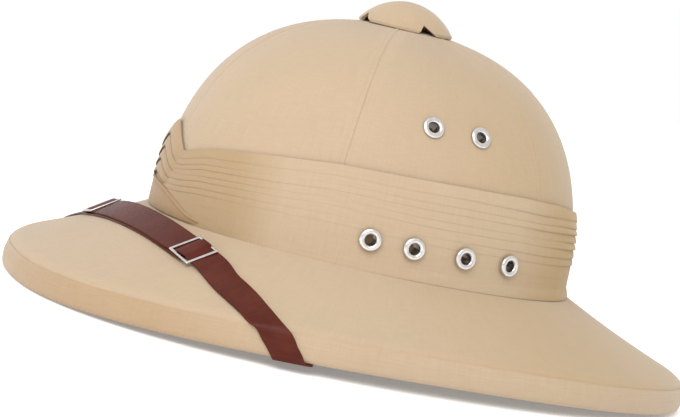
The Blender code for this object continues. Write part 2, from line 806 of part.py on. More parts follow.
def add_slide(name, run, distance, collection, cutters, material):
    """Wire frame round the strap with a bar across its middle."""
    half_width = SLIDE_WIDTH / 2 - SLIDE_WIRE / 2
    half_length = SLIDE_LENGTH / 2 - SLIDE_WIRE / 2
    corner = SLIDE_CORNER
    inset = SLIDE_CORNER * SLIDE_CORNER_CUT
    outline = []
    for x_sign, y_sign in ((1, 1), (-1, 1), (-1, -1), (1, -1)):
        flat = (x_sign * (half_width - corner), y_sign * half_length)
        upright = (x_sign * half_width, y_sign * (half_length - corner))
        cut = (x_sign * (half_width - inset), y_sign * (half_length - inset))
        turn = (upright, cut, flat) if x_sign * y_sign > 0 else (flat, cut, upright)
        outline.extend(turn)
    curve = bpy.data.curves.new(f"{name}_wire", "CURVE")
    curve.dimensions = "3D"
    curve.bevel_depth = SLIDE_WIRE / 2
    curve.bevel_resolution = 2
    spline = curve.splines.new("POLY")
    spline.points.add(len(outline) - 1)
    for point, (x, y) in zip(spline.points, outline):
        point.co = (x, y, 0.0, 1.0)
    spline.use_cyclic_u = True
    wire = bpy.data.objects.new(f"{name}_wire", curve)
    collection.objects.link(wire)
    slide = add_object(name, baked_mesh(name, wire, 50.0), collection, material)
    ends = []
    for end in (distance - half_length, distance + half_length):
        seat, normal, _ = run.frame(end)
        ends.append(seat + normal * slide_level())
    along = (ends[1] - ends[0]).normalized()
    placement = facing(ends[0].lerp(ends[1], 0.5), run.frame(distance)[1], along)
    slide.matrix_world = placement
    bar = add_cutter(
        f"{name}_bar", rod_mesh(f"{name}_bar", SLIDE_BAR / 2, 2.0 * half_width, 8), cutters
    )
    bar.matrix_world = placement @ Matrix.Rotation(math.radians(90.0), 4, "Y")
    add_cut(slide, bar, "UNION")


def build_strap(collection, cutters, materials, shell):
    """Two halves of the chin strap, lapped over each other and joined by the slides."""
    run = StrapRun()
    left_slide = run.distance_at(SLIDE_LEFT_ANGLE)
    right_slide = run.distance_at(SLIDE_RIGHT_ANGLE)
    wire = SLIDE_LENGTH / 2 - SLIDE_WIRE / 2
    window = wire * STRAP_WINDOW
    low = STRAP_SEAT + STRAP_THICKNESS / 2
    high = under_wire()
    under_bar = slide_level() - SLIDE_BAR / 2 - 2.0 * LAYER_GAP - STRAP_THICKNESS / 2
    free_end = right_slide + wire + STRAP_TAIL

    def left_height(distance):
        climb = bump(min(distance - left_slide + wire, 0.0), STRAP_CLIMB)
        over_left = bump(distance - left_slide, window)
        over_right = bump(min(distance - right_slide, 0.0), window)
        past = max(distance - right_slide, 0.0) / (free_end - right_slide)
        over = (over_bar() - high) * (over_left + over_right)
        return mix(low, high, climb) + over + STRAP_TAIL_CURL * past ** 2

    def right_height(distance):
        return low + (under_bar - low) * bump(distance - left_slide, wire)

    slides = (left_slide, right_slide)
    left = edge_stations(STRAP_RUN[0][0], ANCHOR_ANGLE)
    left += run_stations(run, marks_between(run, 0.0, free_end, slides), slides, left_height)

    right = edge_stations(STRAP_RUN[-1][0], -ANCHOR_ANGLE)
    end = left_slide - SLIDE_BAR
    marks = marks_between(run, run.length, end, slides)
    right += run_stations(run, marks, slides, right_height)
    for side, stations in (("left", left), ("right", right)):
        strap = add_object(
            f"strap_{side}", strap_mesh(f"strap_{side}", stations), collection,
            materials["leather"],
        )
        add_wall(strap, STRAP_THICKNESS, 0)
        add_anchor(side, stations, collection, cutters, materials, strap, shell)
    add_slide("slide_left", run, left_slide, collection, cutters, materials["nickel"])
    add_slide("slide_right", run, right_slide, collection, cutters, materials["nickel"])


def main():
    clear_scene()
    helmet = make_collection("pith_helmet")
    cutters = make_collection("cutters")
    materials = {
        "khaki": make_material("khaki_cloth", KHAKI, 0.9),
        "band": make_material("band_cloth", BAND_KHAKI, 0.9),
        "leather": make_material("brown_leather", LEATHER, 0.35),
        "nickel": make_material("nickel", NICKEL, 0.25, 1.0),
    }
    shell = build_shell(helmet, materials["khaki"])
    build_binding(helmet, materials["khaki"])
    band = build_band(helmet, materials["band"])
    build_plait(helmet, materials["band"])
    build_wrap(helmet, materials["band"])
    build_cap(helmet, cutters, materials["khaki"])
    build_eyelets(helmet, cutters, materials["nickel"], shell, band)
    build_strap(helmet, cutters, materials, shell)


main()
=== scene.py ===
"""Pith helmet: the finish of every piece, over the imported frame.

Metres, +Z up, in the frame's own axes: the front of the hat faces -Y and the wearer's left
side is +X. An angle runs round the hat from the front, 0, to the wearer's left side, 90.
A height on the crown is measured from the joint between the crown and the brim.
"""

import math

import bmesh
import bpy
import numpy as np
from mathutils import Matrix, Vector


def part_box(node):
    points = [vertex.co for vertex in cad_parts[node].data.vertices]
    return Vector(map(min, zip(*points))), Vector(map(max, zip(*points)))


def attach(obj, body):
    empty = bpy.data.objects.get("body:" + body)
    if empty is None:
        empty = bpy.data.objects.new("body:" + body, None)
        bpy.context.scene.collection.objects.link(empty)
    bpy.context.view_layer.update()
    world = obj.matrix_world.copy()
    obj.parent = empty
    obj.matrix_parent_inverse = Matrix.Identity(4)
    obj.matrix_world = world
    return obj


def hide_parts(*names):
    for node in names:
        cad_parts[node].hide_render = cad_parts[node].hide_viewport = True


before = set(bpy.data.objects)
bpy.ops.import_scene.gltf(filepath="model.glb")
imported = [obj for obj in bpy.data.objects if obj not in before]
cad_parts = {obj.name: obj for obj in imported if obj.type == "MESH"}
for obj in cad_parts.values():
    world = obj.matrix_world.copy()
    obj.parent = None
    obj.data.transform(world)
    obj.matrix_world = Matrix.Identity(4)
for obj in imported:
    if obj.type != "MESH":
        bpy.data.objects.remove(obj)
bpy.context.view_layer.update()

MM = 0.001
SHARP_ANGLE = math.radians(50.0)


def cad_size(node):
    low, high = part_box(node)
    return high - low


# Brim, measured over its binding
BRIM_WIDTH, BRIM_LENGTH, _ = cad_size("brim_binding")
BRIM_SQUARENESS = 2.30
BRIM_SAG = 1.2 * MM
EDGE_HEIGHT = 12.0 * MM
EDGE_SHOULDER = 2.2 * MM
SHOULDER_START = 0.90
SIDE_LIFT = 5.7 * MM
LEVEL_ANGLE = 9.0

# Crown, measured over the bare shell
CROWN_LENGTH = 219.5 * MM
CROWN_WIDTH = 193.2 * MM
CROWN_SQUARENESS = 2.07
CROWN_HEIGHT = 116.1 * MM
CROWN_SIDE_FULLNESS = 2.48
CROWN_TOP_FULLNESS = 2.44
CROWN_FORWARD = 4.5 * MM
JOINT_HEIGHT = 45.4 * MM
JOINT_ARCH = 1.6 * MM

# Walls
SHELL_WALL = 4.0 * MM
CLOTH_WALL = 1.2 * MM
GAP = 0.3 * MM
BINDING_TURN_IN = 6.5 * MM
BINDING_BEVEL = 0.22
# Faint lines along the binding's face: height and depth
BINDING_LINES = ((6.9 * MM, 0.20 * MM), (8.5 * MM, 0.09 * MM), (10.0 * MM, 0.09 * MM))

# Side seams of the crown: share of the way up, and the angles of the two on one side
SEAM_ROUTES = (
    (0.00, 62.2, 122.8), (0.20, 62.3, 122.3), (0.40, 62.4, 121.0), (0.54, 62.2, 119.2),
    (0.69, 61.7, 116.0), (0.80, 61.0, 114.5), (1.00, 58.0, 114.0),
)
FRONT_SEAM = 1.0
SEAM_OFFSETS = np.array(
    (0.0, 0.2, 0.45, 0.8, 1.25, 1.55, 1.75, 1.95, 2.15, 2.45, 2.9, 4.0, 5.5)
) * MM
SEAM_WELT = 1.95 * MM
SEAM_RISE = 0.22 * MM
SEAM_GROOVE = 0.28 * MM
PANEL_COLUMNS = 26

# Pleated band
BAND_HEIGHT = 50.0 * MM
BAND_SEAT = 0.5 * MM
BAND_OUT = BAND_SEAT + CLOTH_WALL
BAND_FOOT = -0.5 * MM
PLEAT_RISE = 1.1 * MM
# Radius of the dark cords that paint shadow under the plait's strips
SHADOW_CORD_RADIUS = 0.24 * MM
BAND_TOP = (
    (0, 0.63), (10, 0.65), (21, 0.745), (36, 0.82), (62, 0.92), (95, 0.955),
    (115, 0.958), (132, 0.935), (155, 0.86), (180, 0.84),
)
# Foot of each pleat as a share of the band's height, and how far it stands out
PLEATS = (
    (0.00, 0.60), (0.13, 0.12), (0.27, 0.15), (0.40, 0.45), (0.48, 0.60), (0.57, 0.80),
    (0.645, 0.65), (0.73, 0.85), (0.80, 0.60), (0.89, 0.80),
)
# How far the pleats stand out round one half of the hat, by angle
PLEAT_STRENGTH = (
    (0, 0.25), (12, 0.34), (28, 0.30), (40, 0.15), (75, 0.13), (100, 0.24), (130, 0.55),
    (150, 0.95), (180, 1.0),
)

# Crossed pleats at the front: height at the middle and at the ends as shares of the
# band's height, and half the spread in degrees
PLAIT_ANGLE = -6.0
PLAIT_LINES = (
    (0.91, 0.63, 15.0),
    (0.77, 0.51, 13.5),
    (0.63, 0.42, 12.5),
    (0.50, 0.34, 11.5),
    (0.37, 0.28, 10.0),
)
WRAP_TOP = (
    (-36, 0.10), (-28, 0.22), (-18, 0.27), (-9, 0.275), (1, 0.25), (7, 0.21),
    (13, 0.155), (19, 0.085), (25, 0.045),
)

# Vent cap
CAP_RADIUS = 24.4 * MM
CAP_HEIGHT = 13.5 * MM
CAP_FORWARD = 7.3 * MM
CAP_ARC = 50.0
CAP_HEM = 1.5 * MM
CAP_WALL = 2.0 * MM
CAP_SEAT = 0.45 * MM
CAP_NOTCH_ANGLES = (98.0, 188.0, 278.0, 8.0)
CAP_NOTCH_WIDTH = 11.0 * MM
CAP_NOTCH_HEIGHT = 4.6 * MM
CAP_NOTCH_LEAN = -0.45

# Eyelets
EYELET_FLANGE = 11.0 * MM
EYELET_HOLE = 5.0 * MM
EYELET_WALL = 0.45 * MM
EYELET_BARREL = EYELET_HOLE / 2 + EYELET_WALL
EYELET_DOME = 1.3 * MM
EYELET_LOW_HEIGHT = 14.6 * MM
EYELET_HIGH_HEIGHT = 72.4 * MM
EYELET_LOW_ANGLES = (73.2, 84.1, 97.1, 110.7)
EYELET_HIGH_ANGLES = (84.2, 98.7)
EYELET_BACK_SEAT = 1.2 * MM

# Chin strap
STRAP_WIDTH = 15.6 * MM
STRAP_NECK = 15.2 * MM
STRAP_THICKNESS = 1.0 * MM
STRAP_SEAT = 0.35 * MM
STRAP_EDGE_SEAT = 0.3 * MM
STRAP_INSIDE_SEAT = 1.3 * MM
LAYER_GAP = 0.05 * MM
WIRE_GAP = 0.05 * MM
STRAP_WINDOW = 0.9
STRAP_TAIL = 4.5 * MM
STRAP_CLIMB = 12.0 * MM
STRAP_EDGE_BLEND = 14.0 * MM
ANCHOR_ANGLE = 62.5
ANCHOR_HEIGHT = 16.0 * MM
ANCHOR_END = 6.5 * MM
SLIDE_LENGTH = 17.0 * MM
SLIDE_WIDTH = 17.4 * MM
SLIDE_WIRE = 1.4 * MM
SLIDE_REACH = SLIDE_LENGTH / 2 - SLIDE_WIRE / 2
SLIDE_FLAT = 0.45 * MM
SLIDE_BAR = 0.7 * MM
STRAP_SLIP = 1.1 * MM
STRAP_SLANT_LIMIT = 0.85
LAP_SLIP = 0.8 * MM
SLIDE_MARKS = (-1.0, -0.7, -0.35, 0.0, 0.35, 0.7, 1.0)
STRAP_STEP = 5.0 * MM
STRAP_RUN = (
    (64.0, 0.975, 0), (61.4, 0.875, 0), (57.3, 0.74, 0), (53.2, 0.62, 0), (44.5, 0.42, 1),
    (37.0, 0.336, 2), (28.0, 0.245, 5), (16.5, 0.185, 7), (4.0, 0.185, 9), (-9.0, 0.255, 8),
    (-21.0, 0.38, 5), (-31.0, 0.54, 3), (-38.0, 0.70, 1), (-43.5, 0.86, 0), (-47.5, 0.975, 0),
)
SLIDE_LEFT_ANGLE = 36.6
SLIDE_RIGHT_ANGLE = -17.5
SLIDE_TURNS = {"left": -5.5, "right": 0.0}
RIM_START_ANGLE = 44.8
RIM_REPLACED = 4
# The left strap's two edges near the rim, up from its foot: the downhill edge's angle,
# stand-off and rise, then the uphill edge's; a rise of None means that the number before
# it is a reach over the brim
STRAP_RIM = (
    (65.71, 0.8, -0.1, 70.94, 0.8, -0.3),
    (64.91, 0.9, 3.1, 69.99, 0.9, 3.7),
    (63.80, 1.0, 6.8, 69.18, 1.0, 6.7),
    (63.62, 1.15, 7.4, 69.05, 1.15, 7.3),
    (63.44, 0.95, 8.0, 68.92, 0.95, 7.9),
    (62.48, 0.4, 11.2, 68.04, 0.4, 11.7),
    (61.84, 0.3, 12.5, 66.56, 0.966, None),
    (60.93, 0.987, None, 65.05, 0.917, None),
    (59.06, 0.940, None, 61.19, 0.753, None),
    (57.03, 0.879, None, 57.15, 0.609, None),
    (53.69, 0.781, None, 54.02, 0.523, None),
    (49.86, 0.680, None, 50.69, 0.445, None),
)
# Route of the strap round the edge, from inside the brim to its top: degrees gained
# towards the rear, inset as shares of the edge's depth and of the leather's stand-off,
# rise as shares of the edge's height and of the stand-off
STRAP_EDGE = (
    (5.4, 1.0, 1.5, 0.33, 0.0), (5.4, 1.0, 1.2, 0.0, -0.6), (4.9, 0.5, 0.0, 0.0, -1.0),
    (4.9, 0.14, 0.0, 0.0, -1.0), (4.2, 0.0, -0.8, 0.0, 0.0), (3.5, 0.0, -1.0, 0.3, 0.0),
    (2.1, 0.0, -1.0, 0.75, 0.0), (0.9, 0.0, -0.75, 1.0, 0.5),
)

# Cloth and studio colours
KHAKI_LIGHT = (0.436, 0.328, 0.222)
KHAKI_DARK = (0.394, 0.292, 0.190)
WEAVE_PITCH = 0.55 * MM
WHITE = (1.0, 1.0, 1.0, 1.0)
FLOOR_GLOW = 0.22
# Lights: degrees round from the camera, elevation, distance, size and power
LIGHTS = (("key", -14.0, 38.0, 1.6, 1.1, 16.0), ("fill", -80.0, 40.0, 1.8, 1.4, 2.0))

# Camera, in the photograph's frame
PHOTO_WIDTH = 680
PHOTO_HEIGHT = 417
FOCAL_PIXELS = 1913.9
SENSOR = 36.0
CAMERA_DISTANCE = 1.0
CAMERA_AZIMUTH = 67.69
CAMERA_ELEVATION = 6.64
CAMERA_ROLL = 13.5
AIM_POINT = Vector((0.0, -3.27 * MM, 44.4 * MM))
AIM_PIXEL = (359.87, 248.85)


def mix(start, end, share):
    return start + (end - start) * share


def bump(distance, half_length):
    """1 at no distance, falling smoothly to 0 at half_length."""
    share = np.clip(np.abs(distance) / half_length, 0.0, 1.0)
    return 0.5 + 0.5 * np.cos(math.pi * share)


def faded_ends(places, length):
    """1 along a row of places, falling to 0 over a length at both ends."""
    rising = np.clip((places - places[0]) / length, 0.0, 1.0)
    return rising * np.clip((places[-1] - places) / length, 0.0, 1.0)


def table_value(table, key, column=1):
    rows = np.array(table, dtype=float)
    return np.interp(key, rows[:, 0], rows[:, column])


def signed_power(value, power):
    return np.sign(value) * np.abs(value) ** power


def squared_oval(half_width, half_length, squareness, angle):
    turn = np.radians(angle)
    power = 2.0 / squareness
    return (
        half_width * signed_power(np.sin(turn), power),
        -half_length * signed_power(np.cos(turn), power),
    )


def stacked(x, y, z):
    return np.stack(np.broadcast_arrays(x, y, z), axis=-1)


def sideness(angle):
    return np.sin(np.radians(angle)) ** 2


def edge_lift(angle):
    level = sideness(LEVEL_ANGLE)
    return SIDE_LIFT * np.maximum(0.0, (sideness(angle) - level) / (1.0 - level))


def edge_point(angle, inset, rise):
    x, y = squared_oval(BRIM_WIDTH / 2 - inset, BRIM_LENGTH / 2 - inset, BRIM_SQUARENESS, angle)
    return stacked(x, y, edge_lift(angle) + rise)


def brim_point(angle, reach):
    """Point on the brim's top, with reach 0 at the crown and 1 at the edge's crease."""
    x, y = squared_oval(
        mix(CROWN_WIDTH / 2 + 1.2 * MM, BRIM_WIDTH / 2 - GAP, reach),
        mix(CROWN_LENGTH / 2 + 1.2 * MM, BRIM_LENGTH / 2 - GAP, reach),
        mix(CROWN_SQUARENESS, BRIM_SQUARENESS, reach),
        angle,
    )
    joint = JOINT_HEIGHT + JOINT_ARCH * sideness(angle)
    outer_z = edge_lift(angle) + EDGE_HEIGHT + EDGE_SHOULDER
    rounding = np.maximum(0.0, (reach - SHOULDER_START) / (1.0 - SHOULDER_START))
    z = mix(joint, outer_z, reach) - EDGE_SHOULDER * rounding ** 2
    z = z - BRIM_SAG * 4.0 * reach * (1.0 - reach)
    return stacked(x, y - CROWN_FORWARD * (1.0 - reach), z)


def crown_surface(angle, height):
    rise = np.clip(height / CROWN_HEIGHT, 0.0, 1.0)
    share = (1.0 - rise ** CROWN_SIDE_FULLNESS) ** (1.0 / CROWN_TOP_FULLNESS)
    x, y = squared_oval(
        CROWN_WIDTH / 2 * share, CROWN_LENGTH / 2 * share, CROWN_SQUARENESS, angle
    )
    arch = JOINT_ARCH * sideness(angle) * (1.0 - rise)
    return stacked(x, y - CROWN_FORWARD, JOINT_HEIGHT + arch + height)


def unit(vectors):
    return vectors / np.maximum(np.linalg.norm(vectors, axis=-1, keepdims=True), 1e-12)


def step_lengths(points, axis=0):
    return np.linalg.norm(np.diff(points, axis=axis), axis=-1)


def surface_normal(place, first, second, first_step, second_step):
    along = place(first + first_step, second) - place(first - first_step, second)
    across = place(first, second + second_step) - place(first, second - second_step)
    return unit(np.cross(along, across))


def crown_normal(angle, height):
    height = np.maximum(height, 1.0 * MM)
    return surface_normal(crown_surface, angle, height, 0.5, 0.3 * MM)


def brim_normal(angle, reach):
    return -surface_normal(brim_point, angle, reach, 0.5, 0.005)


def crown_point(angle, height, out=0.0):
    out = np.asarray(out)[..., None]
    return crown_surface(angle, height) + crown_normal(angle, height) * out


def crown_height_at(x, y):
    across = np.abs(x) / (CROWN_WIDTH / 2)
    along = np.abs(y + CROWN_FORWARD) / (CROWN_LENGTH / 2)
    share = (across ** CROWN_SQUARENESS + along ** CROWN_SQUARENESS) ** (1 / CROWN_SQUARENESS)
    rise = (1.0 - share ** CROWN_TOP_FULLNESS) ** (1.0 / CROWN_SIDE_FULLNESS)
    return CROWN_HEIGHT * rise


def ripple(first, second, seed):
    """Smooth unevenness between about -1 and 1, from waves at unlike angles."""
    total = 0.0
    for index in range(6):
        turn = 2.4 * index + seed
        pitch = 0.6 + 0.25 * index
        phase = 1.7 * index * seed
        total = total + np.sin((first * math.cos(turn) + second * math.sin(turn)) / pitch + phase)
    return total / 3.2


def linked(name, data):
    """New object that is in the scene."""
    item = bpy.data.objects.new(name, data)
    bpy.context.scene.collection.objects.link(item)
    return item


def bmesh_object(name, bm):
    mesh = bpy.data.meshes.new(name)
    bm.to_mesh(mesh)
    bm.free()
    return linked(name, mesh)


def grid_object(name, points, wrap_columns=True, wrap_rows=False):
    """Piece whose vertices are points[row, column]; rows run upwards on the outside."""
    rows, columns = points.shape[:2]
    row_ends = rows if wrap_rows else rows - 1
    column_ends = columns if wrap_columns else columns - 1
    row, column = np.meshgrid(np.arange(row_ends), np.arange(column_ends), indexing="ij")
    corners = [(row + down, column + over) for down, over in ((0, 0), (0, 1), (1, 1), (1, 0))]
    at_row, at_column = (np.stack(places, axis=-1) for places in zip(*corners))
    faces = at_row % rows * columns + at_column % columns
    mesh = bpy.data.meshes.new(name)
    mesh.from_pydata(points.reshape(-1, 3).tolist(), [], faces.reshape(-1, 4).tolist())
    down = np.cumsum(step_lengths(points).mean(axis=1))
    along = np.cumsum(step_lengths(points, 1).max(axis=0))
    down = np.concatenate(([0.0], down, [down[-1] + 1.0 * MM]))
    along = np.concatenate(([0.0], along, [along[-1] + 1.0 * MM]))
    layer = mesh.uv_layers.new(name="cloth")
    uv = np.stack((along[at_column], down[at_row]), axis=-1)
    layer.data.foreach_set("uv", uv.reshape(-1))
    mesh.update()
    mesh.shade_smooth()
    mesh.set_sharp_from_angle(angle=SHARP_ANGLE)
    return linked(name, mesh)


def finish_piece(item, material, slot, *nodes):
    """Give a piece its material and its place in the frame."""
    item.data.materials.clear()
    item.data.materials.append(material)
    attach(item, "root")
    if nodes:
        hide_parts(*nodes)
    return item


def cut_holes(item, cutters):
    """Cut closed meshes out of a piece for good, and remove them."""
    for cutter in cutters:
        cut = item.modifiers.new("cut", "BOOLEAN")
        cut.operation = "DIFFERENCE"
        cut.object = cutter
        cut.solver = "EXACT"
    evaluated = item.evaluated_get(bpy.context.evaluated_depsgraph_get())
    mesh = bpy.data.meshes.new_from_object(evaluated)
    item.modifiers.clear()
    item.data = mesh
    for cutter in cutters:
        bpy.data.objects.remove(cutter, do_unlink=True)


def open_holes(item, placements, radius):
    """Leave out a piece's cloth within a radius of each eyelet, under its rim."""
    bm = bmesh.new()
    bm.from_mesh(item.data)
    for placement in placements:
        to_eyelet = placement.inverted()
        places = ((vertex, to_eyelet @ vertex.co) for vertex in bm.verts)
        near = [
            vertex for vertex, place in places
            if abs(place.z) < 4 * SHELL_WALL and place.xy.length < radius
        ]
        bmesh.ops.delete(bm, geom=near, context="VERTS")
    bm.to_mesh(item.data)
    bm.free()


def facing(position, normal, along):
    """Placement with Y along a direction and Z as near as can be to the normal."""
    side = along.cross(normal).normalized()
    axes = Matrix((side, along, side.cross(along))).transposed().to_4x4()
    return Matrix.Translation(position) @ axes


def prism(sides, radius, length):
    """Closed prism round Z, as a bmesh."""
    bm = bmesh.new()
    bmesh.ops.create_cone(
        bm, cap_ends=True, segments=sides, radius1=radius, radius2=radius, depth=length
    )
    return bm


def eyelet_drill(placement):
    length = 4 * (SHELL_WALL + EYELET_BACK_SEAT + BAND_OUT + PLEAT_RISE)
    item = bmesh_object("drill", prism(32, EYELET_BARREL + 0.2 * MM, length))
    item.matrix_world = placement
    return item


class Nodes:
    """A Principled material with short calls for its procedural nodes."""

    def __init__(self, name):
        self.material = bpy.data.materials.new(name)
        self.material.use_nodes = True
        self.tree = self.material.node_tree
        self.shader = self.tree.nodes["Principled BSDF"]

    def set(self, socket, value):
        self.feed(self.shader.inputs[socket], value)

    def feed(self, target, value):
        """Give an input a value, or link it to an output."""
        if isinstance(value, bpy.types.NodeSocket):
            self.tree.links.new(value, target)
        else:
            target.default_value = value

    def node(self, kind, **inputs):
        node = self.tree.nodes.new(kind)
        for socket, value in inputs.items():
            self.feed(node.inputs[socket], value)
        return node

    def math(self, operation, first, second=0.0):
        node = self.tree.nodes.new("ShaderNodeMath")
        node.operation = operation
        self.feed(node.inputs[0], first)
        self.feed(node.inputs[1], second)
        return node.outputs[0]

    def scaled(self, value, factor, offset):
        return self.math("ADD", self.math("MULTIPLY", value, factor), offset)

    def source(self, output="Object"):
        return self.tree.nodes.new("ShaderNodeTexCoord").outputs[output]

    def axis(self, name, output="Object"):
        split = self.node("ShaderNodeSeparateXYZ", Vector=self.source(output))
        return split.outputs[name]

    def coordinates(self, scale, output="Object"):
        mapping = self.node("ShaderNodeMapping", Vector=self.source(output), Scale=scale)
        return mapping.outputs["Vector"]

    def noise(self, scale, detail=3.0, stretch=(1, 1, 1), output="Object"):
        vector = self.coordinates([scale * part for part in stretch], output)
        node = self.node("ShaderNodeTexNoise", Vector=vector, Scale=1.0, Detail=detail)
        return node.outputs["Fac"]

    def ramp(self, value, stops):
        node = self.node("ShaderNodeValToRGB", Fac=value)
        elements = node.color_ramp.elements
        while len(elements) < len(stops):
            elements.new(0.5)
        for element, (position, colour) in zip(elements, stops):
            element.position = position
            element.color = (*colour, 1.0)
        return node.outputs["Color"]

    def tinted(self, share, colour, tint):
        node = self.tree.nodes.new("ShaderNodeMix")
        node.data_type = "RGBA"
        node.blend_type = "MULTIPLY"
        for index, value in ((0, share), (6, colour), (7, (*tint, 1.0))):
            self.feed(node.inputs[index], value)
        return node.outputs[2]

    def bump_from(self, *layers):
        """Chain of bumps: each layer is a height socket and its depth in metres."""
        normal = None
        for height, depth in layers:
            node = self.node("ShaderNodeBump", Height=height, Distance=depth, Strength=1.0)
            if normal is not None:
                self.feed(node.inputs["Normal"], normal)
            normal = node.outputs["Normal"]
        self.set("Normal", normal)


def weave(nodes, pitch):
    """Plain weave: threads that rise and fall along both directions of the cloth."""
    wander = nodes.math("MULTIPLY", nodes.noise(1 / (9 * MM), 2.0), 1.2)
    warp, weft = (
        nodes.math("SINE", nodes.scaled(nodes.axis(name, "UV"), math.tau / pitch, wander))
        for name in ("X", "Y")
    )
    return nodes.math("MULTIPLY", warp, weft)


def zone(nodes, axis, start, full):
    """0 where an axis is at start and 1 where it is at full, in a straight slope between."""
    slope = nodes.math("DIVIDE", nodes.math("SUBTRACT", nodes.axis(axis), start), full - start)
    slope.node.use_clamp = True
    return slope


def cloth_material(name, slub_depth, painted_shade_tints=(), light=KHAKI_LIGHT, dark=KHAKI_DARK):
    """Cotton drill: a fine weave, slubs in both directions and slow changes of shade.

    Each painted shade tint is the places along Y, in mm, where it starts and is full, and its colour,
    which darkens the cloth there.
    """
    nodes = Nodes(name)
    across = nodes.noise(1 / (1.1 * MM), 3.0, (0.10, 1.0, 1.0), "UV")
    upwards = nodes.noise(1 / (1.2 * MM), 3.0, (1.0, 0.08, 1.0), "UV")
    threads = nodes.math("MULTIPLY", nodes.math("ADD", across, upwards), 0.5)
    patches = nodes.noise(1 / (38 * MM), 3.0)
    shade = nodes.scaled(threads, 0.75, nodes.math("MULTIPLY", patches, 0.25))
    colour = nodes.ramp(shade, ((0.30, dark), (0.68, light)))
    # Painted shade: each tint darkens the colour along Y
    for start, full, tint in painted_shade_tints:
        share = zone(nodes, "Y", start * MM, full * MM)
        colour = nodes.tinted(share, colour, tint)
    nodes.set("Base Color", colour)
    fuzz = nodes.noise(1 / (0.35 * MM), 2.0)
    nodes.set("Roughness", nodes.scaled(fuzz, 0.12, 0.78))
    nodes.set("Specular IOR Level", 0.25)
    nodes.set("Sheen Weight", 0.25)
    nodes.set("Sheen Roughness", 0.45)
    nodes.bump_from((threads, slub_depth), (weave(nodes, WEAVE_PITCH), 0.02 * MM))
    return nodes.material


def leather_material(name, dark, light, roughness):
    """Smooth dyed leather: fine pores, faint creases and a worn gloss."""
    nodes = Nodes(name)
    clouds = nodes.noise(1 / (14 * MM), 4.0)
    streaks = nodes.noise(1 / (2.0 * MM), 3.0, (1.0, 0.15, 1.0), "UV")
    shade = nodes.scaled(clouds, 0.6, nodes.math("MULTIPLY", streaks, 0.4))
    nodes.set("Base Color", nodes.ramp(shade, ((0.32, dark), (0.70, light))))
    fine = nodes.coordinates([1 / (0.55 * MM)] * 3)
    pores = nodes.node("ShaderNodeTexVoronoi", Vector=fine, Scale=1.0)
    grain = nodes.noise(1 / (1.6 * MM), 4.0)
    nodes.set("Roughness", nodes.scaled(grain, 0.22, roughness - 0.11))
    nodes.set("Specular IOR Level", 0.14)
    nodes.bump_from((pores.outputs["Distance"], 0.03 * MM), (grain, 0.05 * MM))
    return nodes.material


def metal_material(name, colour, roughness):
    """Nickel plate: bright, with faint polishing lines and dull spots."""
    nodes = Nodes(name)
    spots = nodes.noise(1 / (2.5 * MM), 4.0)
    lines = nodes.noise(1 / (0.25 * MM), 2.0, (1.0, 0.2, 1.0))
    darker = tuple(0.82 * part for part in colour)
    nodes.set("Base Color", nodes.ramp(spots, ((0.30, darker), (0.62, colour))))
    nodes.set("Roughness", nodes.scaled(spots, 0.14, roughness - 0.07))
    nodes.set("Metallic", 1.0)
    nodes.bump_from((lines, 0.006 * MM))
    return nodes.material


def seam_angles(share):
    """Angle of each seam at a share of the way up the crown."""
    near, far = (float(table_value(SEAM_ROUTES, share, column)) for column in (1, 2))
    return [FRONT_SEAM, near, far, 180.0, 360.0 - far, 360.0 - near]


def shell_columns(turn, radius):
    """Angle and sideways distance from its nearest seam for every column of one row."""
    seams = seam_angles(turn)
    offsets = np.degrees(SEAM_OFFSETS / radius)
    angles = []
    asides = []
    for start, end in zip(seams, [*seams[1:], seams[0] + 360.0]):
        between = np.linspace(start + offsets[-1], end - offsets[-1], PANEL_COLUMNS + 2)
        angles += [start + offsets, between[1:-1], end - offsets[:0:-1]]
        middle = np.full(PANEL_COLUMNS, SEAM_OFFSETS[-1])
        asides += [SEAM_OFFSETS, middle, -SEAM_OFFSETS[:0:-1]]
    return np.concatenate(angles), np.concatenate(asides)


def seam_relief(aside):
    """Height of a seam's welt and groove at a sideways distance from it."""
    welt = SEAM_RISE * np.clip((0.25 * MM - aside) / (0.5 * MM), 0.0, 1.0)
    welt = welt * np.clip((aside + SEAM_WELT + 0.25 * MM) / (0.5 * MM), 0.0, 1.0)
    soft = 0.6 * SEAM_GROOVE * bump(aside + SEAM_WELT, 0.5 * MM)
    return welt - soft - SEAM_GROOVE * bump(aside, 0.4 * MM)


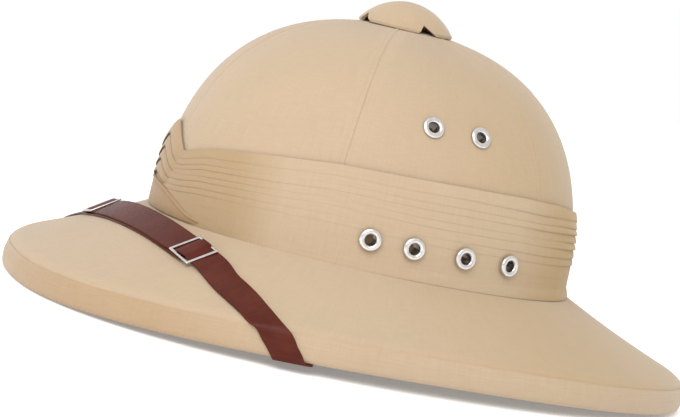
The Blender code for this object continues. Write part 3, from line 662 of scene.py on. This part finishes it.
def build_shell(cloth):
    """Cover of the crown and the brim, from the edge up to the vent and back inside."""
    cover = CLOTH_WALL + GAP
    radius = CROWN_WIDTH / 2
    foot_angles, _ = shell_columns(0.0, radius)

    def edge_row(share):
        rise = mix(cover + 1.0 * MM, EDGE_HEIGHT - 1.2 * MM, share)
        return edge_point(foot_angles, cover, rise)

    def brim_row(share):
        reach = 0.98 * (1.0 - share)
        wave = ripple(foot_angles / 9.0, reach * 4.0, 1.3) * 0.12 * MM
        normal = brim_normal(foot_angles, reach)
        return brim_point(foot_angles, reach) + normal * wave[..., None]

    def crown_row(share, out=0.0, relief=1.0):
        quarter = math.radians(mix(1.5, 86.8, share))
        height = CROWN_HEIGHT * math.sin(quarter) ** (2.0 / CROWN_SIDE_FULLNESS)
        width = radius * max(math.cos(quarter) ** (2.0 / CROWN_TOP_FULLNESS), 0.05)
        angles, asides = shell_columns(share, width)
        wave = ripple(angles / 14.0, share * 6.0, 2.1) * 0.20 * MM
        return crown_point(angles, height, out + relief * (seam_relief(asides) + wave))

    def inner_row(share):
        return crown_row(1.0 - share, -SHELL_WALL, 0.0)

    def under_row(share):
        reach = mix(0.07, 0.93, share)
        return brim_point(foot_angles, reach) - brim_normal(foot_angles, reach) * SHELL_WALL

    def last_row(share):
        rise = mix(EDGE_HEIGHT - SHELL_WALL - 1.0 * MM, cover + 1.0 * MM, share)
        return edge_point(foot_angles, cover + SHELL_WALL, rise)

    stretches = (
        (edge_row, 6), (brim_row, 62), (crown_row, 118), (inner_row, 34), (under_row, 14),
        (last_row, 3),
    )
    points = [
        place(share) for place, count in stretches for share in np.linspace(0.0, 1.0, count)
    ]
    shell = grid_object("shell_cover", np.array(points), wrap_rows=True)
    return finish_piece(shell, cloth, "khaki_cloth", "shell")


def build_binding(cloth):
    """Cloth turned round the brim's edge, with lines of stitching sunk into its face."""
    angles = np.linspace(0.0, 360.0, 361)[:-1]
    inner = 2.0 * (CLOTH_WALL + GAP) + SHELL_WALL
    face = EDGE_HEIGHT + 0.2 * MM
    # Inset from the CAD face and rise, up the outside, over the top and down the inside
    section = [
        (inner, BINDING_TURN_IN), (inner, 3.0 * MM), (inner, 0.9 * MM), (inner - 0.5 * MM, 0.2 * MM),
        (inner - 1.4 * MM, 0.0), (4.0 * MM, 0.0), (2.2 * MM, 0.0), (1.2 * MM, 0.15 * MM),
        (0.5 * MM, 0.7 * MM), (0.1 * MM, 1.6 * MM),
    ]
    for rise in np.linspace(2.4 * MM, face - 0.5 * MM, 26):
        share = rise / face
        bulge = -0.25 * MM * math.sin(math.pi * share)
        groove = sum(
            depth * bump(rise - line, 0.6 * MM) for line, depth in BINDING_LINES
        )
        bevel = BINDING_BEVEL * max(rise - BINDING_LINES[0][0], 0.0)
        section.append((bulge + groove + bevel, rise))
    section += [
        (1.15 * MM, face), (1.25 * MM, face + 0.3 * MM), (1.5 * MM, face + 0.35 * MM),
        (2.0 * MM, face), (2.0 * MM, face - 0.9 * MM), (CLOTH_WALL, face - 1.6 * MM),
        (CLOTH_WALL, 2.6 * MM), (CLOTH_WALL + 0.8 * MM, CLOTH_WALL), (inner - CLOTH_WALL, CLOTH_WALL),
        (inner - CLOTH_WALL, BINDING_TURN_IN),
    ]
    wave = ripple(angles / 6.0, 0.0, 0.7) * 0.10 * MM
    rows = [
        edge_point(angles, inset + wave * (inset < CLOTH_WALL / 2), rise)
        for inset, rise in section
    ]
    binding = grid_object("binding_cover", np.array(rows), wrap_rows=True)
    return finish_piece(binding, cloth, "khaki_cloth", "brim_binding")


def half_turn(angle):
    """Angle from the front, whichever side of the hat it is on."""
    return np.abs((angle + 180.0) % 360.0 - 180.0)


def pleat_section():
    """Rows of pleated cloth, bottom to top: share of the height, distance out, and foot."""
    shape = ((-0.03, 0.10), (-0.10, 0.45), (-0.06, 0.85), (0.08, 1.0), (0.28, 0.92),
             (0.50, 0.68), (0.72, 0.38), (0.88, 0.16), (0.97, 0.06))
    feet = [foot for foot, _ in PLEATS] + [0.995]
    return [
        (foot + (following - foot) * step, depth * out, foot)
        for (foot, depth), following in zip(PLEATS, feet[1:]) for step, out in shape
    ]


def build_band(cloth):
    angles = np.linspace(0.0, 360.0, 481)[:-1]
    turn = half_turn(angles)
    rear = np.clip((turn - 60.0) / 90.0, 0.0, 1.0)
    strength = table_value(PLEAT_STRENGTH, turn)
    top = BAND_HEIGHT * table_value(BAND_TOP, turn)
    rows = []
    for share, out, foot in pleat_section():
        sway = ripple(angles / 11.0, foot * 9.0, 3.3) * 0.014 * (0.1 < foot)
        height = mix(BAND_FOOT, top, np.clip(share, 0.0, 1.0) + sway)
        swell = 1.0 + 0.55 * ripple(angles / 7.0, foot * 20.0, 5.1)
        roll = 1.3 * MM * bump(share, 0.16) * rear
        rows.append(crown_point(angles, height, BAND_OUT + PLEAT_RISE * out * strength * swell + roll))
    rows.append(crown_point(angles, top, BAND_OUT))
    rows.append(crown_point(angles, top + 0.25 * MM, BAND_OUT - 0.5 * MM))
    for share in (1.0, 0.6, 0.3, 0.0):
        rows.append(crown_point(angles, mix(BAND_FOOT, top, share), BAND_SEAT))
    band = grid_object("puggaree_cloth", np.array(rows), wrap_rows=True)
    return finish_piece(band, cloth, "band_cloth", "puggaree")


def painted_shadow_cord(name, points, cloth):
    """Painted shadow just under the lower edge of a strip of the plait, where it overlaps the strip
    below: a thin dark cord that narrows at its ends.
    """
    along = unit(np.gradient(points, axis=0))
    out = unit(points * np.array((1.0, 1.0, 0.0)))
    aside = np.cross(along, out)
    share = np.linspace(0.0, 1.0, len(points))
    radius = SHADOW_CORD_RADIUS * np.minimum(1.0, 0.25 + 4.0 * np.minimum(share, 1.0 - share))
    rows = [
        points + (out * math.cos(turn) + aside * math.sin(turn)) * radius[:, None]
        for turn in np.linspace(0.0, math.tau, 9)[:-1]
    ]
    cord = grid_object(name, np.array(rows), wrap_columns=False, wrap_rows=True)
    return finish_piece(cord, cloth, "band_cloth", "puggaree_plait")


def build_plait(cloth, shadow_cord_cloth):
    sides = np.linspace(-1.0, 1.0, 61)
    shape = ((0.02, -0.40), (-0.10, 0.45), (-0.13, 0.85), (-0.04, 1.05), (0.10, 1.0), (0.35, 0.80),
             (0.60, 0.50), (0.78, 0.25), (0.88, 0.0), (0.95, -0.35))
    tuck = np.clip((np.abs(sides) - 0.70) / 0.30, 0.0, 1.0) ** 1.5
    rows = []
    base = BAND_OUT + 0.3 * MM
    last = len(PLAIT_LINES) - 1

    def row_at(line, out, lower_by=0.0):
        middle, end, spread = line
        height = BAND_HEIGHT * mix(middle, end, np.abs(sides) ** 1.2) - lower_by
        return crown_point(PLAIT_ANGLE + spread * sides, height, out)

    for line in range(last, 0, -1):
        lower = np.array(PLAIT_LINES[line])
        upper = np.array(PLAIT_LINES[line - 1])
        for step, out in shape:
            rise = 0.2 * MM + 1.2 * MM * out * (1.0 - 0.7 * tuck) - 1.1 * MM * tuck
            rows.append(row_at(mix(lower, upper, step), base + rise))
        # Painted shadow: a dark cord just under this strip's lower edge
        painted_shadow_cord(f"plait_painted_shadow_{line}", rows[2 - len(shape)], shadow_cord_cloth)
    rows.append(row_at(PLAIT_LINES[0], base - 0.4 * MM))
    rows.append(row_at(PLAIT_LINES[0], 0.6 * MM, 0.6 * MM))
    plait = grid_object("plait_cloth", np.array(rows), wrap_columns=False)
    return finish_piece(plait, cloth, "band_cloth", "puggaree_plait")


def build_wrap(cloth):
    angles = np.linspace(WRAP_TOP[0][0], WRAP_TOP[-1][0], 101)
    top = BAND_HEIGHT * table_value(WRAP_TOP, angles)
    ends = faded_ends(angles, 3.0)
    full = BAND_OUT + 0.9 * MM * ends
    rows = []
    for share in np.linspace(0.0, 0.92, 14):
        rows.append(crown_point(angles, mix(BAND_SEAT, top, share), full))
    hem = ((-1.3, 0.0), (-1.0, 0.25), (-0.5, 0.55), (0.0, 0.5), (0.35, 0.1), (0.35, -0.5),
           (0.1, -1.2))
    for lift, out in hem:
        rows.append(crown_point(angles, np.maximum(top + lift * MM, BAND_SEAT), full + out * MM))
    wrap = grid_object("wrap_cloth", np.array(rows), wrap_columns=False)
    return finish_piece(wrap, cloth, "band_cloth", "puggaree_wrap")


def build_cap(cloth):
    """Domed cap over the vent, with a turned hem and notches in its rim."""
    angles = np.linspace(0.0, 360.0, 145)[:-1]
    peak = JOINT_HEIGHT + CROWN_HEIGHT + CAP_HEIGHT
    steepest = math.cos(math.radians(CAP_ARC))

    def rim(angle):
        x = CAP_RADIUS * np.sin(np.radians(angle))
        y = -CAP_FORWARD - CAP_RADIUS * np.cos(np.radians(angle))
        return stacked(x, y, JOINT_HEIGHT + crown_height_at(x, y) + CAP_SEAT)

    def ring(arc, wall, lift=0.0):
        base = rim(angles)
        slope = math.radians(arc)
        radius = math.sin(slope) / math.sin(math.radians(CAP_ARC)) * (1.0 - wall / CAP_RADIUS)
        height = (math.cos(slope) - steepest) / (1.0 - steepest)
        foot = base[:, 2] + CAP_HEM
        return stacked(
            base[:, 0] * radius, mix(-CAP_FORWARD, base[:, 1], radius),
            mix(foot, peak - wall, height) + lift,
        )

    rows = [ring(CAP_ARC, 0.5 * MM, -CAP_HEM), ring(CAP_ARC, 0.1 * MM, -CAP_HEM + 0.15 * MM)]
    rows += [ring(CAP_ARC, 0.0, -CAP_HEM * share) for share in (0.75, 0.45, 0.15)]
    for arc in np.linspace(CAP_ARC, 1.0, 40):
        rows.append(ring(arc, 0.16 * MM * bump(arc - CAP_ARC + 3.5, 1.6)))
    for arc in np.linspace(1.0, CAP_ARC, 14):
        rows.append(ring(arc, CAP_WALL))
    rows.append(ring(CAP_ARC, CAP_WALL, -CAP_HEM))
    cap = grid_object("cap_cover", np.array(rows), wrap_rows=True)
    cutters = []
    for angle in CAP_NOTCH_ANGLES:
        base = Vector(rim(angle))
        outward = Vector((base.x, base.y + CAP_FORWARD, 0.0)).normalized()
        along = Vector((0.0, 0.0, 1.0)).cross(outward)
        bm = prism(3, 1.0, CAP_WALL * 4.0)
        tip_side = CAP_NOTCH_LEAN * CAP_NOTCH_WIDTH / 2
        spread = 1.0 + CAP_WALL / CAP_NOTCH_HEIGHT
        for vertex in bm.verts:
            at_tip = vertex.co.y > 0.9
            foot = math.copysign(CAP_NOTCH_WIDTH / 2, vertex.co.x)
            side = tip_side if at_tip else mix(tip_side, foot, spread)
            rise = CAP_NOTCH_HEIGHT if at_tip else -CAP_WALL
            vertex.co = base + along * side + outward * vertex.co.z + Vector((0, 0, rise))
        cutters.append(bmesh_object("notch", bm))
    cut_holes(cap, cutters)
    return finish_piece(cap, cloth, "khaki_cloth", "vent_cap")


def turned_points(profile, steps):
    """Rings of a closed profile of radius and height, turned about Z."""
    turn = np.linspace(0.0, math.tau, steps + 1)[:-1]
    return np.array([
        stacked(radius * np.sin(turn), -radius * np.cos(turn), height) for radius, height in profile
    ])


def eyelet_places():
    for row, height, angles, out in (
        ("low", EYELET_LOW_HEIGHT, EYELET_LOW_ANGLES, BAND_OUT + PLEAT_RISE + GAP),
        ("high", EYELET_HIGH_HEIGHT, EYELET_HIGH_ANGLES, GAP),
    ):
        for side, sign in (("left", 1.0), ("right", -1.0)):
            for number, angle in enumerate(angles, 1):
                place = crown_at(sign * angle, height, out)
                normal = Vector(crown_normal(sign * angle, height))
                level = Vector((0, 0, 1)).cross(normal).normalized()
                yield row, f"{row}_{side}_{number}", out, facing(place, normal, level)


def build_eyelets(metal):
    hole = EYELET_HOLE / 2
    flange = EYELET_FLANGE / 2
    middle = (hole + 0.15 * MM + flange) / 2
    half = (flange - hole - 0.15 * MM) / 2
    places = {"low": [], "high": []}
    for row, name, out, placement in eyelet_places():
        depth = out + SHELL_WALL + EYELET_BACK_SEAT
        profile = [(EYELET_BARREL, 0.1 * MM), (EYELET_BARREL, -depth), (flange * 0.8, -depth)]
        profile += [(flange * 0.8, -depth - 0.5 * MM), (hole, -depth - 0.6 * MM), (hole, -1.0 * MM)]
        for step in np.linspace(0.0, math.pi, 16):
            rise = EYELET_DOME * math.sin(step) ** 0.75
            profile.append((middle - half * math.cos(step), rise))
        profile += [(flange, -0.2 * MM), (flange - 0.4 * MM, -0.1 * MM)]
        rows = turned_points(profile[::-1], 48)
        eyelet = grid_object(f"ring_{name}", rows, wrap_rows=True)
        eyelet.data.transform(placement)
        finish_piece(eyelet, metal, "nickel", f"eyelet_{name}")
        places[row].append(placement)
    return places


def brim_at(angle, reach):
    return Vector(brim_point(angle, reach))


def brim_up(angle, reach):
    return Vector(brim_normal(angle, reach))


def edge_at(angle, inset, rise):
    return Vector(edge_point(angle, inset, rise))


def crown_at(angle, height, out):
    return Vector(crown_point(angle, height, out))


def spline_rows(table, samples):
    """Rows of a table joined by a smooth curve, with samples steps between two rows."""
    rows = np.array((table[0], *table, table[-1]), dtype=float)
    before, start, end, after = (rows[k:len(rows) - 3 + k, None] for k in range(4))
    t = (np.arange(samples) / samples)[:, None]
    curve = 0.5 * (
        2.0 * start + (end - before) * t
        + (2.0 * before - 5.0 * start + 4.0 * end - after) * t ** 2
        + (3.0 * start - before - 3.0 * end + after) * t ** 3
    )
    return np.concatenate((curve.reshape(-1, rows.shape[1]), rows[-1:]))


class StrapRun:
    """Middle line of the strap over the brim, by distance from its left end."""

    def __init__(self):
        self.rows = spline_rows(STRAP_RUN, 12)
        points = brim_point(self.rows[:, 0], self.rows[:, 1])
        self.distances = np.concatenate(([0.0], np.cumsum(step_lengths(points))))
        self.length = self.distances[-1]

    def row(self, distance):
        return [float(np.interp(distance, self.distances, self.rows[:, k])) for k in range(3)]

    def distance_at(self, angle):
        return float(np.interp(angle, self.rows[::-1, 0], self.distances[::-1]))

    def frame(self, distance):
        """Seat of the leather: its middle on the brim, across uphill, and off the brim."""
        step = 0.5 * MM
        near = brim_at(*self.row(max(distance - step, 0.0))[:2])
        far = brim_at(*self.row(min(distance + step, self.length))[:2])
        angle, reach, lean = self.row(distance)
        normal = brim_up(angle, reach)
        along = (far - near).normalized()
        uphill = along.cross(normal).normalized()
        turn = math.radians(lean)
        seat = brim_at(angle, reach) + normal * STRAP_WIDTH / 2 * math.sin(turn)
        return seat, normal * math.cos(turn) - uphill * math.sin(turn), along


SLIDE_LEVEL = STRAP_SEAT + 2.0 * STRAP_THICKNESS + LAYER_GAP + WIRE_GAP + SLIDE_FLAT
UNDER_WIRE = SLIDE_LEVEL - SLIDE_FLAT - WIRE_GAP - STRAP_THICKNESS / 2
OVER_BAR = SLIDE_LEVEL + SLIDE_BAR / 2 + STRAP_THICKNESS / 2


def marks_between(run, first, last, slides):
    """Distances along the run, closer together where the leather bends at a slide."""
    count = round(run.length / STRAP_STEP)
    marks = [run.length * index / count for index in range(count + 1)]
    reach = SLIDE_LENGTH / 2
    for slide in slides:
        marks = [mark for mark in marks if abs(mark - slide) > reach + STRAP_STEP / 2]
        marks.extend(slide + reach * share for share in SLIDE_MARKS)
    low, high = min(first, last), max(first, last)
    inside = sorted(mark for mark in marks if low + MM < mark < high - MM)
    marks = [low, *inside, high]
    return marks if first < last else marks[::-1]


def run_stations(run, marks, slides, height_at, slip_at):
    """Leather over the brim, as its middle, direction across and width at each mark."""
    stations = []
    for distance in marks:
        seat, normal, along = run.frame(distance)
        across = normal.cross(along).normalized()
        margin = min(distance, run.length - distance)
        turned = bump(margin, STRAP_EDGE_BLEND)
        if turned > 0.0:
            tangent = edge_tangent(run.row(distance)[0])
            across = mix(across, tangent if tangent.dot(across) > 0 else -tangent, turned)
        near_slide = max(bump(distance - slide, SLIDE_LENGTH) for slide in slides)
        width = mix(STRAP_WIDTH, STRAP_NECK, min(1.0, 2.0 * near_slide))
        across = across.normalized()
        middle = seat + normal * height_at(distance) + across * slip_at(distance)
        stations.append((middle, across, width))
    return stations


def edge_tangent(angle):
    return (edge_at(angle + 0.5, 0.0, 0.0) - edge_at(angle - 0.5, 0.0, 0.0)).normalized()


def edge_stations(angle, anchor_angle):
    """Leather from inside the crown, round the brim's edge, to the start of the run."""
    stand_off = STRAP_THICKNESS / 2 + STRAP_EDGE_SEAT
    depth = 2.0 * (CLOTH_WALL + GAP) + SHELL_WALL
    side = math.copysign(1.0, angle)
    wall = -(SHELL_WALL + STRAP_THICKNESS / 2 + STRAP_INSIDE_SEAT)
    below = -2.0 * SHELL_WALL
    near = crown_at(anchor_angle - 0.5, ANCHOR_HEIGHT, 0.0)
    far = crown_at(anchor_angle + 0.5, ANCHOR_HEIGHT, 0.0)
    across = (near - far).normalized() * side
    stations = [
        (crown_at(anchor_angle, height, wall), across, STRAP_WIDTH)
        for height in (ANCHOR_HEIGHT + ANCHOR_END, ANCHOR_HEIGHT, 0.0)
    ]
    corner = crown_at(anchor_angle, 0.0, wall - stand_off) + Vector((0.0, 0.0, below))
    stations.append((corner, across, STRAP_WIDTH))
    for gain, depth_share, inset_share, height_share, rise_share in STRAP_EDGE:
        turn = angle + side * gain
        inset = depth * depth_share + stand_off * inset_share
        rise = EDGE_HEIGHT * height_share + stand_off * rise_share
        stations.append((edge_at(turn, inset, rise), edge_tangent(turn) * -side, STRAP_WIDTH))
    return stations


def rim_point(angle, place, rise):
    if rise is None:
        return brim_at(angle, place) + brim_up(angle, place) * (STRAP_SEAT + STRAP_THICKNESS / 2)
    return edge_at(angle, -place * MM, rise * MM)


def rim_stations():
    """The left strap where it leaves the brim aslant and folds down over the edge."""
    stations = []
    for row in STRAP_RIM:
        downhill, uphill = rim_point(*row[:3]), rim_point(*row[3:])
        across = downhill - uphill
        stations.append((downhill.lerp(uphill, 0.5), across.normalized(), across.length))
    return stations


def squared(stations):
    """Stations with their widths opened where the leather crosses them aslant."""
    last = len(stations) - 1
    opened = []
    for index, (middle, across, width) in enumerate(stations):
        along = stations[min(index + 1, last)][0] - stations[max(index - 1, 0)][0]
        squareness = across.cross(along.normalized()).length
        opened.append((middle, across, width / max(squareness, STRAP_SLANT_LIMIT)))
    return opened


def strap_object(name, stations):
    """Leather with rounded edges along the stations, with shallow creases and stretch."""
    curve = np.array([(*middle, *across, width) for middle, across, width in stations])
    lengths = step_lengths(curve[:, :3])
    place = np.concatenate(([0.0], np.cumsum(np.sqrt(lengths))))
    at = np.concatenate([
        np.linspace(place[k], place[k + 1], max(2, int(lengths[k] / (1.1 * MM)) + 1))[:-1]
        for k in range(len(lengths))
    ] + [place[-1:]])
    fine = np.stack([smooth_through(place, curve[:, k], at) for k in range(7)], axis=-1)
    middle = fine[:, :3]
    along = unit(np.gradient(middle, axis=0))
    across = unit(fine[:, 3:6])
    normal = unit(np.cross(along, across))
    width = fine[:, 6]
    distance = np.concatenate(([0.0], np.cumsum(step_lengths(middle))))
    half = STRAP_THICKNESS / 2
    # Section from one edge over the top to the other and back: share of the width, height
    top = [(-1.0, -0.35), (-1.0, 0.35), (-0.975, 0.75), (-0.94, 0.97), (-0.90, 1.0), (-0.86, 0.93),
           (-0.82, 1.0), (-0.55, 1.0), (-0.25, 1.0), (0.0, 1.0)]
    upper = top + [(-share, height) for share, height in top[-2::-1]]
    lower = [(0.975, -0.75), (0.94, -1.0), (0.5, -1.0), (0.0, -1.0), (-0.5, -1.0), (-0.94, -1.0),
             (-0.975, -0.75)]
    section = np.array(upper + lower)
    fade = faded_ends(distance, 8 * MM)
    points = []
    for share, height in section:
        curl = 0.14 * MM * ripple(distance / (9 * MM), share * 0.7, 4.2)
        edge = 0.16 * MM * ripple(distance / (13 * MM), np.sign(share), 2.7) * abs(share)
        aside = (width / 2 + edge) * share
        points.append(middle + across * aside[:, None] + normal * (half * height + curl * fade)[:, None])
    strap = grid_object(name, np.array(points), wrap_columns=False, wrap_rows=True)
    bm = bmesh.new()
    bm.from_mesh(strap.data)
    bmesh.ops.holes_fill(bm, edges=[edge for edge in bm.edges if edge.is_boundary], sides=0)
    bmesh.ops.recalc_face_normals(bm, faces=bm.faces)
    bm.to_mesh(strap.data)
    bm.free()
    strap.data.set_sharp_from_angle(angle=SHARP_ANGLE)
    return strap


def smooth_through(place, values, at):
    """Curve through the values by Hermite pieces whose slopes don't overshoot."""
    steps = np.diff(place)
    slopes = np.diff(values) / steps
    tangent = np.concatenate((slopes[:1], (slopes[1:] * steps[:-1] + slopes[:-1] * steps[1:])
                              / (steps[1:] + steps[:-1]), slopes[-1:]))
    index = np.clip(np.searchsorted(place, at, side="right") - 1, 0, len(steps) - 1)
    width = steps[index]
    t = (at - place[index]) / width
    return (
        (2 * t ** 3 - 3 * t ** 2 + 1) * values[index] + (t ** 3 - 2 * t ** 2 + t) * width * tangent[index]
        + (3 * t ** 2 - 2 * t ** 3) * values[index + 1] + (t ** 3 - t ** 2) * width * tangent[index + 1]
    )


def build_slide(name, run, distance, turned):
    """Flat wire frame with square corners and a bar across its middle."""
    half_width = SLIDE_WIDTH / 2 - SLIDE_WIRE / 2
    ends = []
    for end in (distance - SLIDE_REACH, distance + SLIDE_REACH):
        seat, normal, _ = run.frame(end)
        ends.append(seat + normal * SLIDE_LEVEL)
    along = (ends[1] - ends[0]).normalized()
    placement = facing(ends[0].lerp(ends[1], 0.5), run.frame(distance)[1], along)
    placement = placement @ Matrix.Rotation(math.radians(turned), 4, "Z")
    wire = SLIDE_WIRE / 2
    # Section of the flat wire: shares of its half width and of its half thickness
    section = (
        (1.0, -0.5), (1.0, 0.5), (0.86, 0.88), (0.55, 1.0), (0.0, 1.04), (-0.55, 1.0),
        (-0.86, 0.88), (-1.0, 0.5), (-1.0, -0.5), (-0.8, -1.0), (0.8, -1.0),
    )
    turn = np.radians([first + 18.0 * step for first in (0, 90, 180, 270) for step in range(6)])
    x_side, y_side = np.repeat((1, -1, -1, 1), 6), np.repeat((1, 1, -1, -1), 6)
    rows = []
    for aside, rise in section:
        corner = mix(0.15 * MM, 0.55 * MM, (aside + 1.0) / 2)
        reach = wire * aside - corner
        rows.append(stacked(
            x_side * (half_width + reach) + corner * np.cos(turn),
            y_side * (SLIDE_REACH + reach) + corner * np.sin(turn),
            rise * SLIDE_FLAT,
        ))
    slide = grid_object(name, np.array(rows), wrap_rows=True)
    turn = math.tau * np.arange(14) / 14
    bar_rows = [
        stacked(x, SLIDE_BAR / 2 * np.cos(turn), SLIDE_BAR / 2 * np.sin(turn))
        for x in np.linspace(half_width, -half_width, 9)
    ]
    bar = grid_object(f"{name}_bar", np.array(bar_rows))
    for piece in (slide, bar):
        piece.data.transform(placement)
    return slide, bar


def build_strap(leather, metal):
    run = StrapRun()
    left_slide = run.distance_at(SLIDE_LEFT_ANGLE)
    right_slide = run.distance_at(SLIDE_RIGHT_ANGLE)
    window = SLIDE_REACH * STRAP_WINDOW
    low = STRAP_SEAT + STRAP_THICKNESS / 2
    under_bar = SLIDE_LEVEL - SLIDE_BAR / 2 - 2.0 * LAYER_GAP - STRAP_THICKNESS / 2
    free_end = right_slide + SLIDE_REACH + STRAP_TAIL

    def left_height(distance):
        climb = bump(min(distance - left_slide + SLIDE_REACH, 0.0), STRAP_CLIMB)
        over_left = min(1.0, 1.6 * bump(distance - left_slide, window))
        over_right = bump(distance - right_slide, window)
        over = (OVER_BAR - UNDER_WIRE) * (over_left + 0.8 * over_right)
        return mix(low, UNDER_WIRE, climb) + over

    def right_height(distance):
        return low + (under_bar - low) * bump(distance - left_slide, SLIDE_REACH)

    def left_slip(distance):
        return -STRAP_SLIP * bump(distance - left_slide, SLIDE_LENGTH)

    def right_slip(distance):
        lapped = bump(max(left_slide - distance, distance - right_slide, 0.0), SLIDE_LENGTH)
        return LAP_SLIP * lapped

    slides = (left_slide, right_slide)
    left = edge_stations(STRAP_RUN[0][0], ANCHOR_ANGLE)
    left = squared(left)[:-RIM_REPLACED] + rim_stations()
    marks = marks_between(run, run.distance_at(RIM_START_ANGLE), free_end, slides)
    left += run_stations(run, marks, slides, left_height, left_slip)
    right = edge_stations(STRAP_RUN[-1][0], -ANCHOR_ANGLE)
    marks = marks_between(run, run.length, left_slide - SLIDE_BAR, slides)
    right = squared(right + run_stations(run, marks, slides, right_height, right_slip))
    for side, stations in (("left", left), ("right", right)):
        strap = strap_object(f"leather_{side}", stations)
        finish_piece(strap, leather, "brown_leather", f"strap_{side}")
    for side, distance in (("left", left_slide), ("right", right_slide)):
        for piece in build_slide(f"slide_frame_{side}", run, distance, SLIDE_TURNS[side]):
            finish_piece(piece, metal, "nickel", f"slide_{side}")


def floor_material():
    nodes = Nodes("studio_floor")
    cloud = nodes.noise(1.2, 2.0)
    tone = nodes.ramp(cloud, ((0.3, (0.90, 0.90, 0.90)), (0.7, (0.93, 0.93, 0.93))))
    nodes.set("Base Color", tone)
    nodes.set("Roughness", 0.9)
    nodes.set("Emission Color", WHITE)
    nodes.set("Emission Strength", FLOOR_GLOW)
    return nodes.material


def build_studio():
    bm = bmesh.new()
    bmesh.ops.create_grid(bm, x_segments=1, y_segments=1, size=8.0)
    floor = bmesh_object("floor", bm)
    floor.location.z = -0.2 * MM
    floor.data.materials.append(floor_material())
    world = bpy.data.worlds.new("studio")
    world.use_nodes = True
    background = world.node_tree.nodes["Background"]
    background.inputs["Color"].default_value = WHITE
    background.inputs["Strength"].default_value = 1.0
    bpy.context.scene.world = world
    bpy.context.scene.view_settings.view_transform = "Standard"


def add_light(name, azimuth, elevation, distance, size, power):
    """Square soft light that faces the middle of the hat."""
    direction = direction_to(azimuth, elevation)
    light = bpy.data.lights.new(name, "AREA")
    light.shape = "SQUARE"
    light.size = size
    light.energy = power
    item = linked(name, light)
    item.location = AIM_POINT + direction * distance
    item.rotation_euler = direction.to_track_quat("Z", "Y").to_euler()


def direction_to(azimuth, elevation):
    turn = math.radians(azimuth)
    rise = math.radians(elevation)
    level = math.cos(rise)
    return Vector((math.sin(turn) * level, -math.cos(turn) * level, math.sin(rise)))


def build_camera():
    back = direction_to(CAMERA_AZIMUTH, CAMERA_ELEVATION)
    level = direction_to(CAMERA_AZIMUTH + 90.0, 0.0)
    up = back.cross(level)
    roll = math.radians(CAMERA_ROLL)
    right = level * math.cos(roll) + up * math.sin(roll)
    above = up * math.cos(roll) - level * math.sin(roll)
    aim = Vector((
        AIM_PIXEL[0] - PHOTO_WIDTH / 2, PHOTO_HEIGHT / 2 - AIM_PIXEL[1], -FOCAL_PIXELS
    )).normalized()
    look = Vector((0.0, 0.0, -1.0)).rotation_difference(aim).to_matrix()
    axes = Matrix((right, above, back)).transposed() @ look.transposed()
    data = bpy.data.cameras.new("camera")
    data.sensor_width = SENSOR
    data.lens = FOCAL_PIXELS * SENSOR / PHOTO_WIDTH
    data.clip_start = 0.05
    camera = linked("camera", data)
    camera.matrix_world = Matrix.Translation(AIM_POINT + back * CAMERA_DISTANCE) @ axes.to_4x4()
    bpy.context.scene.camera = camera


# Painted shade: the crown, brim and cap cloth darker and yellower towards the rear, +Y
khaki = cloth_material("khaki_drill", 0.07 * MM, ((-30, 50, (0.95, 0.92, 0.82)),))
# Painted shade: the binding's cloth darker towards the front, -Y
edge_cloth = cloth_material("edge_drill", 0.07 * MM, ((-75, -135, (0.88, 0.82, 0.74)),))
# Painted shade: the band darker towards the front, and darker and yellower towards the rear
band_cloth = cloth_material(
    "band_drill", 0.06 * MM, ((-78, -96, (0.84, 0.78, 0.66)), (40, 76, (0.87, 0.765, 0.48))),
)
# Painted shade: the wrap darker towards the front, -Y
wrap_cloth = cloth_material("wrap_drill", 0.06 * MM, ((-88, -104, (0.78, 0.66, 0.49)),))
# Painted shadow: dark brown cloth for the cords under the plait's strips
painted_shadow_cloth = cloth_material(
    "painted_shadow_drill", 0.04 * MM, light=(0.25, 0.17, 0.11), dark=(0.18, 0.12, 0.075)
)
leather = leather_material("oiled_leather", (0.058, 0.0085, 0.004), (0.092, 0.016, 0.0075), 0.36)
metal = metal_material("nickel_plate", (0.66, 0.63, 0.61), 0.24)

shell = build_shell(khaki)
build_binding(edge_cloth)
band = build_band(band_cloth)
build_plait(band_cloth, painted_shadow_cloth)
build_wrap(wrap_cloth)
build_cap(khaki)
places = build_eyelets(metal)
cut_holes(shell, [eyelet_drill(place) for place in places["low"] + places["high"]])
open_holes(band, places["low"], EYELET_BARREL + 0.3 * MM)
build_strap(leather, metal)
for side in ("left", "right"):
    bpy.data.objects[f"anchor_{side}"].data.materials[0] = metal

build_studio()
for name, turn, *setting in LIGHTS:
    add_light(name, CAMERA_AZIMUTH + turn, *setting)
build_camera()
